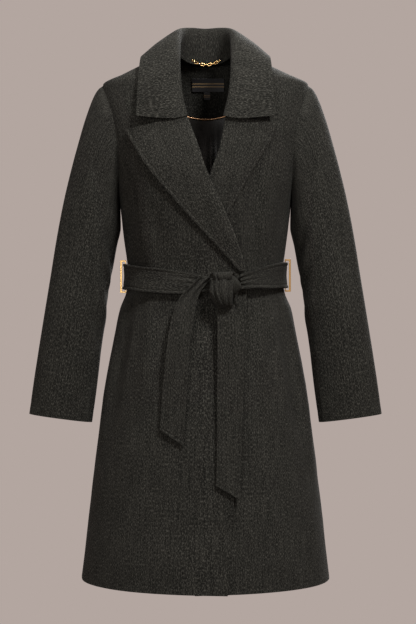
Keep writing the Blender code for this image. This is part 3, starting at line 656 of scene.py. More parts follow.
# The sleeve's rings from head to cuff, with columns outer_x, outer_z, inner_x, inner_z and
# half_depth.
SLEEVE = (
    (0.1855, -0.0580, 0.1560, -0.2630, 0.0600),
    (0.2010, -0.0780, 0.1545, -0.2790, 0.0620),
    (0.2140, -0.1130, 0.1530, -0.2960, 0.0620),
    (0.2330, -0.1800, 0.1525, -0.3150, 0.0600),
    (0.2520, -0.2600, 0.1600, -0.3500, 0.0560),
    (0.2680, -0.3400, 0.1685, -0.4020, 0.0520),
    (0.2815, -0.4200, 0.1780, -0.4640, 0.0480),
    (0.2955, -0.5050, 0.1870, -0.5300, 0.0430),
    (0.3080, -0.5850, 0.1955, -0.6020, 0.0370),
    (0.3170, -0.6490, 0.2040, -0.6640, 0.0310),
)
SLEEVE_POWER = 2.2
SLEEVE_SETTLE = (1.0, 0.45, 0.12, 0.0)
TOP_SLEEVE_TURNS = (-112.5, 157.5)
SLEEVE_SEAM = 0.3
SLEEVE_CLEARANCE = -0.0012
# Creases: where round the arm, which ring, how wide round the arm and along it, how deep,
# and how much they slant. A negative depth is a trough.
SLEEVE_CREASES = (
    (150, 4.3, 34, 0.28, -0.0042, 0.020),
    (145, 4.8, 30, 0.25, 0.0030, 0.020),
    (158, 5.3, 36, 0.26, -0.0046, 0.016),
    (150, 5.9, 30, 0.26, 0.0026, 0.012),
    (140, 6.5, 28, 0.24, -0.0026, 0.014),
    (60, 5.0, 22, 0.90, -0.0026, -0.020),
    (20, 4.0, 16, 1.10, 0.0022, -0.012),
    (95, 2.6, 18, 0.90, -0.0030, 0.012),
    (48, 7.3, 14, 0.90, 0.0018, 0.010),
    (110, 7.6, 16, 0.80, -0.0020, 0.008),
    (215, 4.9, 34, 0.26, -0.0036, -0.016),
    (222, 5.6, 30, 0.28, 0.0028, -0.014),
    (270, 5.0, 20, 1.10, -0.0028, 0.012),
    (300, 3.0, 18, 1.00, 0.0024, -0.010),
    (330, 6.6, 16, 1.00, -0.0020, 0.010),
    (250, 7.4, 20, 0.80, 0.0016, 0.008),
    (0, 0.45, 55, 0.42, 0.0050, 0.0),
    (75, 0.9, 14, 0.45, -0.0016, 0.0),
    (105, 0.8, 12, 0.40, 0.0014, 0.0),
)
CUFF_STITCH_RING = 8.7
SLEEVE_RING_SPLITS = 12
SLEEVE_TURN_STEP = 4.5


def sleeve_crease(turn, ring):
    lift = 0.0
    for middle, at_ring, half_turn, half_ring, depth, slant in SLEEVE_CREASES:
        away = (turn - middle + 180) % 360 - 180
        if abs(away) > 3 * half_turn:
            continue
        along = ring - at_ring - slant * away
        if abs(along) < 3 * half_ring:
            lift += depth * math.exp(-((away / half_turn) ** 2) - (along / half_ring) ** 2)
    return lift


sleeve_curves = [
    [smooth_through(list(range(10)), [row[k] for row in SLEEVE], ring / 24) for ring in range(217)]
    for k in range(5)
]


def sleeve_ring_point(turn, ring, inset):
    """The left sleeve's point: turn 0 is the outer line, 90 the front, 180 the inner."""
    outer_x, outer_z, inner_x, inner_z, half_depth = (
        read_list(curve, ring * 24) for curve in sleeve_curves
    )
    outer, inner = Vector((outer_x, 0, outer_z)), Vector((inner_x, 0, inner_z))
    middle, half = (outer + inner) / 2, (outer - inner) / 2
    cosine, sine = math.cos(math.radians(turn)), math.sin(math.radians(turn))
    reach = math.copysign(abs(cosine) ** (2 / SLEEVE_POWER), cosine)
    depth = -math.copysign(abs(sine) ** (2 / SLEEVE_POWER), sine) * (half_depth - inset)
    point = middle + half * reach * (1 - inset / half.length)
    return point + Vector((0, depth, 0))


def armhole_ring_point(turn, inset):
    """The sleeve's top edge: the armhole, a hair outside the body panels."""
    y, height = armhole_point(turn)
    y *= 1 - inset / ARMHOLE_HALF_DEPTH
    height = ARMHOLE_MIDDLE + (height - ARMHOLE_MIDDLE) * (1 - inset / ARMHOLE_HALF_HEIGHT)
    depth, power = half_form(y < 0, height)
    x = half_width_at(height) * (1 - (abs(y) / depth) ** power) ** (1 / power)
    return Vector((x + SLEEVE_CLEARANCE, y, height))


SLEEVE_LENGTH = 0.60  # of the sleeve down its middle, for the run of the grain


def sleeve_shape(side, first_turn, last_turn):
    last_ring = len(SLEEVE) - 1

    def place(across, along, layer):
        turn = between(first_turn + SLEEVE_SEAM, last_turn - SLEEVE_SEAM, across)
        ring = along * last_ring
        crease = sleeve_crease(turn, ring) * min(ring / 0.6, 1) * min((last_ring - ring) / 0.5, 1)
        seam = min(across, 1 - across) * (last_turn - first_turn)
        crease -= 0.0010 * math.exp(-((seam / 1.6) ** 2))
        if layer:
            crease -= 0.0006 * math.exp(-(((ring - CUFF_STITCH_RING) / 0.035) ** 2))
        inset = (1 - layer) * CLOTH - crease
        point = sleeve_ring_point(turn, ring, inset)
        settle = read_list(SLEEVE_SETTLE, ring) if ring < 3 else 0.0
        if settle > 0:
            armhole = armhole_ring_point(turn, inset) - sleeve_ring_point(turn, 0, inset)
            point += armhole * settle
        point += Vector((0, -1, 0)) * 0.0006 * noise.noise(point * 30) * min(ring, 1)
        radius = 0.5 * (SLEEVE[0][4] + SLEEVE[-1][4])
        grain = (math.radians(turn) * radius, -along * SLEEVE_LENGTH)
        return Vector((side * point.x, point.y, point.z)), grain

    return place


back_turn, front_turn = TOP_SLEEVE_TURNS
for side_name, side in (("right", -1), ("left", 1)):
    for part, first, last, flat, area in (
        ("top", back_turn, front_turn, (0.417, 0.61), 0.135),
        ("under", front_turn, back_turn + 360, (0.115, 0.47), 0.0323),
    ):
        sleeve = lay_cloth(
            f"{side_name}_{part}_sleeve_cloth",
            round((last - first) / SLEEVE_TURN_STEP),
            (len(SLEEVE) - 1) * SLEEVE_RING_SPLITS,
            sleeve_shape(side, first, last),
            wool,
        )
        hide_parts(f"{side_name}_{part}_sleeve")

# ---- lapels --------------------------------------------------------------------------
# The peaked lapels: two layers of wool, turned back from the fronts at the roll line,
# with a soft roll, a turned edge and topstitching near it. Their tops are sewn to the
# collar at the gorge as far as the notch.

lapel_wool = wool_cloth("lapel_wool_cloth", 1.04)
FACED_CLOTH = 0.0032
# Both lapels' stations, with columns roll_height, edge_x, edge_height and curl.
OVER_LAPEL = (
    (-0.392, 0.0560, -0.3945, 0.0),
    (-0.355, 0.0289, -0.3598, 0.0005),
    (-0.310, -0.0085, -0.3180, 0.0010),
    (-0.265, -0.0447, -0.2762, 0.0020),
    (-0.225, -0.0740, -0.2390, 0.0030),
    (-0.183, -0.1035, -0.2000, 0.0030),
    (-0.150, -0.1230, -0.1694, 0.0020),
    (-0.127, -0.1368, -0.1480, 0.0015),
)
UNDER_LAPEL = (
    (-0.392, -0.0500, -0.3945, 0.0),
    (-0.355, -0.0080, -0.3580, 0.0),
    (-0.310, 0.0270, -0.3140, 0.0),
    (-0.265, 0.0524, -0.2699, 0.0),
    (-0.225, 0.0754, -0.2308, 0.0010),
    (-0.183, 0.0987, -0.1897, 0.0020),
    (-0.150, 0.1153, -0.1575, 0.0020),
    (-0.127, 0.1232, -0.1350, 0.0015),
)
LAPEL_GAP = 0.0018
LAPEL_STEPS = 200  # points read from each of the curves along the roll
FACING_INSIDE = 0.0140  # how far the facing reaches in behind the front's edge
INSIDE_PART = 0.10  # of the section's columns
FOLD_PART = 0.14
ROLL_PUFF = 0.0022
ROLL_PUFF_REACH = 0.010
OUTER_PULL = 1.5


def lapel_shape(side, table, edge_at, lift_of):
    steps = len(table) - 1
    heights = [row[0] for row in table]
    finer_heights = [
        between(heights[0], heights[-1], n / LAPEL_STEPS) for n in range(LAPEL_STEPS + 1)
    ]
    by_height = {
        k: [smooth_through(heights, [row[k] for row in table], height) for height in finer_heights]
        for k in (1, 2, 3)
    }

    def place(across, along, layer):
        roll_height = read_list(heights, along * steps)
        at = LAPEL_STEPS * (roll_height - heights[0]) / (heights[-1] - heights[0])
        edge_x, edge_height, curl = (read_list(by_height[k], at) for k in (1, 2, 3))
        roll_at = edge_at(roll_height)
        near, far = -CLOTH - LAPEL_GAP, LAPEL_GAP
        height = roll_height
        if across <= INSIDE_PART:
            x = roll_at + side * between(FACING_INSIDE, -0.0004, across / INSIDE_PART)
            lift = near - layer * 0.0018
            grain = between(-FACING_INSIDE, 0, across / INSIDE_PART)
        elif across <= INSIDE_PART + FOLD_PART:
            turn = math.pi * (across - INSIDE_PART) / FOLD_PART
            reach = 0.0010 + 0.0026 * layer
            x = roll_at - side * (0.0004 + reach * math.sin(turn))
            middle = (near + far) / 2 + layer * 0.0007
            half = (far - near) / 2 + layer * 0.0025
            lift = middle - half * math.cos(turn)
            grain = 0.004 * (across - INSIDE_PART) / FOLD_PART
        else:
            out = (across - INSIDE_PART - FOLD_PART) / (1 - INSIDE_PART - FOLD_PART)
            share = 1 - (1 - out) ** OUTER_PULL
            x = between(roll_at - side * 0.0004, edge_x, share)
            height = between(roll_height, edge_height, share)
            width = math.hypot(edge_x - roll_at, edge_height - roll_height)
            distance = share * width
            puff = distance / ROLL_PUFF_REACH * math.exp(1 - distance / ROLL_PUFF_REACH)
            lift = LAPEL_GAP + layer * FACED_CLOTH + curl * share
            lift += ROLL_PUFF * puff * min(width / 0.05, 1)
            if layer:
                lift += stitched_edge(width - distance) * min(width / 0.02, 1)
            grain = 0.004 + distance
        angle = angle_of(x, height)
        return on_form(angle, height, lift_of(angle, height) + lift), (grain, height * 1.2)

    return place


for side_name, side, table, edge_at, lift_of, flat, area in (
    ("right", -1, OVER_LAPEL, over_edge_at, over_lift, (0.14, 0.332), 0.028),
    ("left", 1, UNDER_LAPEL, under_edge_at, under_lift, (0.115, 0.322), 0.024),
):
    lapel = lay_cloth(
        f"{side_name}_peaked_lapel", 60, 120, lapel_shape(side, table, edge_at, lift_of), lapel_wool
    )
    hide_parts(f"{side_name}_lapel")

# ---- collar --------------------------------------------------------------------------
# The two-layer wool collar: it stands up round the neck, rolls over and lies down to its
# topstitched edge. Its ends are sewn to the lapels at the gorge.

COLLAR_CLOTH = 0.0034
COLLAR = (
    (
        (0.000, 0.0590, -0.013), (0.000, 0.0560, 0.036), (0.000, 0.0640, 0.0500),
        (0.000, 0.0860, 0.0240), (0.000, 0.0980, -0.0220),
    ),
    (
        (0.026, 0.0550, -0.012), (0.024, 0.0515, 0.037), (0.027, 0.0590, 0.0510),
        (0.038, 0.0800, 0.0260), (0.046, 0.0960, -0.0210),
    ),
    (
        (0.046, 0.0370, -0.004), (0.040, 0.0340, 0.034), (0.046, 0.0390, 0.0470),
        (0.066, 0.0560, 0.0270), (0.086, 0.0760, -0.0150),
    ),
    (
        (0.0570, 0.0080, 0.002), (0.0470, 0.0060, 0.022), (0.0530, 0.0070, 0.0350),
        (0.0820, 0.0180, 0.0210), (0.1085, 0.0240, -0.0080),
    ),
    (
        (0.0580, -0.0270, 0.000), (0.0480, -0.0270, 0.000), (0.0530, -0.0290, 0.0110),
        (0.0850, -0.0310, 0.0040), (0.1135, -0.0320, -0.0140),
    ),
    (
        (0.0560, -0.0660, -0.028), (0.0480, -0.0660, -0.034), (0.0520, -0.0720, -0.0290),
        (0.0830, -0.0760, -0.0360), (0.1165, -0.0700, -0.0430),
    ),
    (
        (0.0500, -0.0840, -0.066), (0.0440, -0.0900, -0.080), (0.0480, -0.0980, -0.0800),
        (0.0790, -0.1000, -0.0830), (0.1185, -0.0900, -0.0850),
    ),
    (
        (0.0370, -0.1010, -0.115), (0.0345, -0.1040, -0.1220), (0.0385, -0.1125, -0.1275),
        (0.0665, -0.1125, -0.1300), (0.1205, -0.1010, -0.1245),
    ),
)
COLLAR_HALF = len(COLLAR) - 1


def collar_point(i, j):
    """A table point: i runs from one gorge round the neck to the other."""
    i = min(max(i, 0), 2 * COLLAR_HALF)
    j = min(max(j, 0), 4)
    x, y, z = COLLAR[abs(i - COLLAR_HALF)][j]
    return Vector((math.copysign(x, i - COLLAR_HALF), y, z))


def through_four(a, b, c, d, t):
    """The smooth curve from b to c that a and d steer."""
    return b + (c - a) * (t / 2) + (a - 2.5 * b + 2 * c - d / 2) * t**2 + (
        1.5 * (b - c) + (d - a) / 2
    ) * t**3


def collar_skin(across, along):
    """The collar's visible skin, across and along from 0 to 1."""
    i, j = across * 2 * COLLAR_HALF, along * 4
    i0, j0 = min(int(i), 2 * COLLAR_HALF - 1), min(int(j), 3)
    rows = [
        through_four(*(collar_point(i0 + a, j0 + b) for b in (-1, 0, 1, 2)), j - j0)
        for a in (-1, 0, 1, 2)
    ]
    return through_four(*rows, i - i0)


def collar_place(across, along, layer):
    share = 1 - (1 - along) ** 1.25
    point = collar_skin(across, share)
    round_neck = collar_skin(min(across + 0.004, 1), share) - collar_skin(max(across - 0.004, 0), share)
    over = collar_skin(across, min(share + 0.01, 1)) - collar_skin(across, max(share - 0.01, 0))
    inwards = round_neck.cross(over).normalized()
    to_edge = (1 - share) * 4 * (collar_skin(across, 1) - collar_skin(across, 0.75)).length
    if layer:
        point -= inwards * stitched_edge(to_edge)
        point -= inwards * 0.0006 * noise.noise(point * 22)
    else:
        point += inwards * COLLAR_CLOTH
    return point, ((across - 0.5) * 0.52, share * 0.14)


collar = lay_cloth("wool_collar", 150, 44, collar_place, lapel_wool)
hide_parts("collar")

# ---- back neck facing and lining -----------------------------------------------------
# Inside the back: a curved wool facing under the collar, and below it the black satin
# lining, which hangs a little full and so falls in soft upright folds.

LINING_CLOTH = 0.0010
FACING_CLOTH = 0.0014
FACING_EDGE_RADIUS = 0.118
FACING_EDGE_Z = -0.106
FACING_SHOULDER_X = 0.112
FACING_LIFT = -CLOTH - 0.0018
FACING_DROP = 0.0060
LINING_LIFT = -CLOTH - 0.0030
LINING_DROP = 0.0050
LINING_SHOULDER_X = 0.117
LINING_HEM_Z = -0.905
PIPING_RADIUS = 0.0011
PIPING_ROOM = 0.0046
LINING_FOLD = 0.0030

satin = bpy.data.materials.new("black_satin_cloth")
satin.use_nodes = True
satin_shader = satin.node_tree.nodes["Principled BSDF"]
satin_shader.inputs["Base Color"].default_value = (0.0085, 0.0083, 0.0068, 1)
satin_shader.inputs["Roughness"].default_value = 0.36
satin_shader.inputs["Specular IOR Level"].default_value = 0.55
satin_shader.inputs["Anisotropic"].default_value = 0.4
satin_shader.inputs["Sheen Weight"].default_value = 0.08


def facing_curve(along):
    """(angle, height) along the facing's lower edge, from the shoulder to the centre."""
    x = FACING_SHOULDER_X * math.cos(math.radians(90 * along))
    height = FACING_EDGE_Z + FACING_EDGE_RADIUS - math.sqrt(FACING_EDGE_RADIUS**2 - x * x)
    shoulder = (FACING_SHOULDER_X - NECK_POINT_X) / (SHOULDER_X - NECK_POINT_X) * SHOULDER_Z
    weight = max(1 - along / 0.15, 0)
    share = min(abs(x) / half_width_at(height), 1)
    angle = 180 - math.degrees(math.asin(share ** (BACK_POWER / 2)))
    return between(angle, 90 + SEAM_ANGLE, weight), between(height, shoulder, weight)


def lining_curve(along):
    angle, height = facing_curve(along)
    return angle, height - PIPING_ROOM


def lining_lift(height):
    share = min(max((height + 0.16) / 0.08, 0), 1)
    return LINING_LIFT - LINING_DROP * share


def facing_point(along, down, side, layer):
    top, bottom = back_neckline(along), facing_curve(along)
    angle = between(top[0], bottom[0], down)
    height = between(top[1], bottom[1], down)
    if side > 0:
        angle = 360 - angle
    lift = FACING_LIFT - FACING_DROP * (1 - along) ** 2
    return on_form(angle, height, lift + (layer - 1) * FACING_CLOTH)


def facing_place(across, along, layer):
    share = 2 * across
    reach = share if share <= 1 else 2 - share
    point = facing_point(reach, along, share - 1, layer)
    return point, (point.x * 1.2, point.z)


facing = lay_cloth("back_neck_facing_cloth", 80, 16, facing_place, wool, 0.0004)
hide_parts("back_neck_facing")

lining_base = back_shape(LINING_SHOULDER_X, lining_curve, LINING_HEM_Z, lining_lift, LINING_CLOTH)


def lining_place(across, along, layer):
    point, grain = lining_base(across, along, layer)
    down = min(max((-0.11 - point.z) / 0.12, 0), 1)
    waves = math.sin(point.x * 235 + 3 * math.sin(point.x * 31 + 1)) + 0.5 * math.sin(point.x * 410)
    point.y -= LINING_FOLD * down * (0.75 + 0.5 * waves)
    return point, grain


lining = lay_cloth("satin_back_lining", 160, PANEL_ROWS * 4, lining_place, satin, 0)
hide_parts("back_lining")

# ---- piping --------------------------------------------------------------------------
# A thin gold satin cord sewn between the facing's lower edge and the lining.

gold_satin = bpy.data.materials.new("gold_satin_cord")
gold_satin.use_nodes = True
cord_shader = gold_satin.node_tree.nodes["Principled BSDF"]
cord_shader.inputs["Base Color"].default_value = (0.62, 0.34, 0.17, 1)
cord_shader.inputs["Roughness"].default_value = 0.38
cord_shader.inputs["Metallic"].default_value = 0.35
cord_shader.inputs["Sheen Weight"].default_value = 0.2

piping_curve = bpy.data.curves.new("gold_piping_cord", "CURVE")
piping_curve.dimensions = "3D"
piping_curve.bevel_depth = PIPING_RADIUS
piping_curve.bevel_resolution = 4
piping_curve.use_fill_caps = True
PIPING_STEPS = 80
piping_line = piping_curve.splines.new("POLY")
piping_line.points.add(PIPING_STEPS)
for step, point in enumerate(piping_line.points):
    share = 2 * step / PIPING_STEPS
    reach = share if share <= 1 else 2 - share
    ends = [facing_point(reach, 1, share - 1, layer) for layer in (0, 1)]
    middle = (ends[0] + ends[1]) / 2
    point.co = (middle.x, middle.y, middle.z - PIPING_ROOM / 2, 1)
piping_curve.materials.append(gold_satin)
piping = bpy.data.objects.new("gold_piping_cord", piping_curve)
scene.collection.objects.link(piping)
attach(piping, "root")
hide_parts("gold_piping")

# ---- labels --------------------------------------------------------------------------
# A near-black woven satin label sewn to the facing, with two fine gold lines woven near its
# middle and no lettering, and the small size tab tucked under its lower edge.

LABEL = (-0.0250, 0.0345, -0.0570, -0.0330)  # left, right, bottom, top
SIZE_TAB = (-0.0030, 0.0085, -0.0715, -0.0578)
LABEL_CLOTH = 0.0008
LABEL_LIFT = FACING_LIFT - FACING_CLOTH - 0.0016

label_satin = bpy.data.materials.new("woven_label_satin")
label_satin.use_nodes = True
label_tree = label_satin.node_tree
label_shader = label_tree.nodes["Principled BSDF"]
label_grain = node(label_tree, "ShaderNodeTexCoord").outputs["UV"]
label_split = node(label_tree, "ShaderNodeSeparateXYZ")
label_tree.links.new(label_grain, label_split.inputs["Vector"])
LABEL_BAND_AT = 0.11  # from the label's middle, as a share of its height
LABEL_BAND_HALF = 0.045
from_middle = result_of(label_tree, "SUBTRACT", label_split.outputs["Y"], 0.5)
from_middle = result_of(label_tree, "ABSOLUTE", from_middle, 0)
off_band = result_of(label_tree, "SUBTRACT", from_middle, LABEL_BAND_AT)
off_band = result_of(label_tree, "ABSOLUTE", off_band, 0)
band = spread(label_tree, off_band, LABEL_BAND_HALF, LABEL_BAND_HALF * 0.7)
label_colour = node(label_tree, "ShaderNodeMix", data_type="RGBA")
label_colour.inputs["A"].default_value = (0.008, 0.008, 0.009, 1)
label_colour.inputs["B"].default_value = (0.16, 0.105, 0.05, 1)
label_tree.links.new(band, label_colour.inputs["Factor"])
label_tree.links.new(label_colour.outputs["Result"], label_shader.inputs["Base Color"])
label_shader.inputs["Roughness"].default_value = 0.45


def on_back(x, height, lift):
    share = min(abs(x) / half_width_at(height), 1)
    turn = math.degrees(math.asin(share ** (BACK_POWER / 2)))
    return on_form(180 - math.copysign(turn, x), height, lift)


def label_shape(size):
    left, right, bottom, top = size

    def place(across, along, layer):
        x, height = between(left, right, across), between(bottom, top, along)
        lift = LABEL_LIFT + (layer - 1) * LABEL_CLOTH
        return on_back(x, height, lift), (across, along)

    return place


for name, cad_node, size, columns, flat in (
    ("woven_neck_label", "main_label", LABEL, 24, (0.061, 0.025)),
    ("woven_size_tab", "size_tab", SIZE_TAB, 8, (0.012, 0.014)),
):
    label = lay_cloth(name, columns, 10, label_shape(size), label_satin, 0.0002)
    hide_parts(cad_node)

# ---- hanger chain --------------------------------------------------------------------
# Nine gold-plated oval links, each a turned and soldered wire, hung across the back neck
# from the collar seam, every second one turned a quarter.

CHAIN_LINKS = 9
LINK_HALF_LENGTH = 0.0040
LINK_HALF_WIDTH = 0.0019
LINK_WIRE = 0.0006
LINK_PLAY = 0.0005
CHAIN_MIDDLE = (0.001, 0.0480, -0.0145)
CHAIN_HALF_SPAN = 0.0275
CHAIN_SAG = 0.0080
CHAIN_BOW = 0.0060
LINK_ARC_STEPS = 12

gold_plate = bpy.data.materials.new("polished_gold_plate")
gold_plate.use_nodes = True
plate_shader = gold_plate.node_tree.nodes["Principled BSDF"]
plate_shader.inputs["Base Color"].default_value = (0.86, 0.57, 0.24, 1)
plate_shader.inputs["Metallic"].default_value = 1.0
plate_shader.inputs["Roughness"].default_value = 0.22

link_pitch = 2 * LINK_HALF_LENGTH - 2 * LINK_WIRE - LINK_PLAY
half_chain = [0.0]
for _ in range(CHAIN_LINKS // 2):
    x = half_chain[-1] + link_pitch / 2
    rise, bow = (2 * x * size / CHAIN_HALF_SPAN**2 for size in (CHAIN_SAG, CHAIN_BOW))
    half_chain.append(half_chain[-1] + link_pitch / math.sqrt(1 + rise**2 + bow**2))
chain_places = [-x for x in half_chain[:0:-1]] + half_chain

for number, along in enumerate(chain_places, 1):
    share = (along / CHAIN_HALF_SPAN) ** 2
    name = f"gold_hanger_link_{number}"
    link_curve = bpy.data.curves.new(name, "CURVE")
    link_curve.dimensions = "3D"
    link_curve.bevel_depth = LINK_WIRE
    link_curve.bevel_resolution = 3
    link_line = link_curve.splines.new("POLY")
    straight = LINK_HALF_LENGTH - LINK_HALF_WIDTH
    arc = [math.radians(-90 + 180 * k / LINK_ARC_STEPS) for k in range(LINK_ARC_STEPS + 1)]
    outline = [(straight + LINK_HALF_WIDTH * math.cos(a), LINK_HALF_WIDTH * math.sin(a)) for a in arc]
    outline += [(-x, -y) for x, y in outline]
    link_line.points.add(len(outline) - 1)
    quarter = math.radians(90 * (number % 2))
    rise = math.atan(2 * along * CHAIN_SAG / CHAIN_HALF_SPAN**2)
    bow = math.atan(2 * along * CHAIN_BOW / CHAIN_HALF_SPAN**2)
    turn = Matrix.Rotation(-bow, 4, "Z") @ Matrix.Rotation(-rise, 4, "Y")
    turn = turn @ Matrix.Rotation(quarter, 4, "X")
    middle_x, middle_y, middle_z = CHAIN_MIDDLE
    middle = Vector((middle_x + along, middle_y - CHAIN_BOW * share, middle_z + CHAIN_SAG * share))
    for point, (x, y) in zip(link_line.points, outline):
        point.co = (*(middle + turn @ Vector((x, 0, y))), 1)
    link_line.use_cyclic_u = True
    link_curve.materials.append(gold_plate)
    link = bpy.data.objects.new(name, link_curve)
    scene.collection.objects.link(link)
    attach(link, "root")
    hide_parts(f"hanger_link_{number}")

# ---- belt round the body -------------------------------------------------------------
# A two-layer wool belt with turned and topstitched edges, in three stretches: one round
# the back from ring to ring, and one over each front to the knot. Towards the knot the
# fronts' stretches are pulled into long creases.

belt_wool = wool_cloth("belt_wool_cloth", 1.0)
BELT_WIDTH = 0.0475
BELT_STEPS = 20  # points read from the curve between two stations
BELT_CLOTH = 0.0032
# The belt's stations round the waist, with columns angle, top, bottom and lift.
RIGHT_BELT = (
    (-89.8, -0.3785, -0.4260, 0.0045),
    (-80.0, -0.3796, -0.4272, 0.0045),
    (-68.0, -0.3803, -0.4283, 0.0075),
    (-56.0, -0.3820, -0.4300, 0.0125),
    (-45.0, -0.3842, -0.4335, 0.0160),
    (-34.0, -0.3868, -0.4360, 0.0175),
    (-23.0, -0.3905, -0.4375, 0.0180),
    (-12.0, -0.3955, -0.4378, 0.0180),
    (-4.0, -0.4010, -0.4355, 0.0185),
    (1.8, -0.4060, -0.4330, 0.0185),
)
LEFT_BELT = (
    (89.8, -0.3765, -0.4240, 0.0045),
    (80.0, -0.3765, -0.4240, 0.0040),
    (68.0, -0.3770, -0.4242, 0.0050),
    (56.0, -0.3792, -0.4256, 0.0075),
    (45.0, -0.3826, -0.4268, 0.0115),
    (37.0, -0.3870, -0.4270, 0.0150),
    (30.0, -0.3920, -0.4270, 0.0180),
    (24.0, -0.3975, -0.4280, 0.0190),
    (20.5, -0.4015, -0.4290, 0.0190),
)
# Long creases that run into the knot: where across the belt, how far across they reach,
# how deep at the knot, and the share of the stretch over which they fade out.
BELT_CREASES = ((0.24, 0.07, -0.0026, 0.30), (0.47, 0.06, -0.0022, 0.42), (0.72, 0.07, -0.0030, 0.34))


def belt_front_shape(table):
    stations = list(range(len(table)))
    curves = [
        [
            smooth_through(stations, [row[k] for row in table], n / BELT_STEPS)
            for n in range(BELT_STEPS * (len(table) - 1) + 1)
        ]
        for k in range(4)
    ]

    def place(across, along, layer):
        angle, top, bottom, lift = (read_list(c, across * BELT_STEPS * (len(table) - 1)) for c in curves)
        height = between(bottom, top, along)
        edge = min(along, 1 - along) * (top - bottom)
        if layer:
            lift += stitched_edge(edge)
        for at, reach, depth, fade in BELT_CREASES:
            near_knot = max(1 - (1 - across) / fade, 0)
            lift += depth * near_knot**1.3 * math.exp(-(((along - at) / reach) ** 2))
            lift += 0.5 * abs(depth) * near_knot * math.exp(-(((along - at - 0.11) / reach) ** 2))
        point = on_form(angle, height, lift + layer * BELT_CLOTH)
        return point, (along * BELT_WIDTH, math.radians(angle) * half_width_at(-0.4))

    return place


for name, cad_node, table, length in (
    ("belt_over_right_front", "belt_right_front", RIGHT_BELT, 0.205),
    ("belt_over_left_front", "belt_left_front", LEFT_BELT, 0.150),
):
    stretch = lay_cloth(name, 100, 44, belt_front_shape(table), belt_wool)
    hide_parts(cad_node)

BACK_BELT_SIDE = ((90.2, 0.0045), (97, 0.0058), (106, 0.0062), (118, 0.0042), (132, 0.0030))
BACK_BELT_STEPS = (145, 157, 168, 180)
LEFT_RING_Z, RIGHT_RING_Z = -0.40025, -0.40225
belt_side = [*BACK_BELT_SIDE, *((angle, BACK_BELT_SIDE[-1][1]) for angle in BACK_BELT_STEPS)]
belt_stations = belt_side + [(360 - angle, lift) for angle, lift in belt_side[-2::-1]]
belt_angles = [angle for angle, _ in belt_stations]
belt_lifts = [lift for _, lift in belt_stations]


def back_belt_place(across, along, layer):
    angle = between(belt_angles[0], belt_angles[-1], across)
    lift = smooth_through(belt_angles, belt_lifts, angle)
    height = between(LEFT_RING_Z, RIGHT_RING_Z, across) + (along - 0.5) * BELT_WIDTH
    if layer:
        lift += stitched_edge(min(along, 1 - along) * BELT_WIDTH)
    point = on_form(angle, height, lift + layer * BELT_CLOTH)
    return point, (along * BELT_WIDTH, math.radians(angle) * half_width_at(-0.4))


belt_back = lay_cloth("belt_round_back", 140, 40, back_belt_place, belt_wool)
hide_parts("belt_back")

# ---- belt ends -----------------------------------------------------------------------
# The two hanging ends, cut on a slant. Each leaves the knot squeezed into folds that open
# out as it hangs. The long one has a line of stitching across it that closes the belt.

SHORT_END = (
    (-0.0110, -0.4060, 0.0150, -0.4080, 0.0225),
    (-0.0215, -0.4200, 0.0060, -0.4160, 0.0235),
    (-0.0400, -0.4450, -0.0070, -0.4330, 0.0240),
    (-0.0520, -0.4750, -0.0150, -0.4580, 0.0240),
    (-0.0590, -0.5080, -0.0215, -0.4950, 0.0215),
    (-0.0646, -0.5488, -0.0268, -0.5400, 0.0180),
    (-0.0695, -0.5950, -0.0300, -0.5920, 0.0135),
    (-0.0735, -0.6360, -0.0335, -0.6450, 0.0100),
    (-0.0763, -0.6701, -0.0369, -0.6973, 0.0085),
)
LONG_END = (
    (0.0215, -0.4380, 0.0450, -0.4380, 0.0300),
    (0.0200, -0.4540, 0.0475, -0.4500, 0.0290),
    (0.0194, -0.4700, 0.0555, -0.4640, 0.0245),
    (0.0195, -0.4900, 0.0610, -0.4850, 0.0225),
    (0.0196, -0.5300, 0.0625, -0.5300, 0.0190),
    (0.0196, -0.5800, 0.0625, -0.5800, 0.0140),
    (0.0195, -0.6300, 0.0622, -0.6300, 0.0110),
    (0.0194, -0.6800, 0.0612, -0.6800, 0.0095),
    (0.0188, -0.7300, 0.0600, -0.7350, 0.0090),
    (0.0179, -0.7652, 0.0572, -0.7892, 0.0085),
)
# Folds of an end: where across it, its reach, its depth, and where down the end it starts,
# is deepest and ends, as shares of its length.
SHORT_END_FOLDS = (
    (0.30, 0.12, -0.0042, -0.2, 0.05, 0.55),
    (0.62, 0.11, 0.0036, -0.2, 0.05, 0.50),
    (0.84, 0.08, -0.0022, -0.2, 0.04, 0.30),
    (0.45, 0.22, 0.0016, 0.35, 0.60, 0.95),
)
LONG_END_FOLDS = (
    (0.28, 0.10, -0.0040, -0.2, 0.03, 0.30),
    (0.55, 0.11, 0.0042, -0.2, 0.03, 0.34),
    (0.80, 0.09, -0.0038, -0.2, 0.05, 0.34),
    (0.40, 0.16, -0.0020, 0.08, 0.20, 0.60),
    (0.62, 0.24, 0.0016, 0.30, 0.60, 0.95),
)
CROSS_STITCH_Z = -0.7270


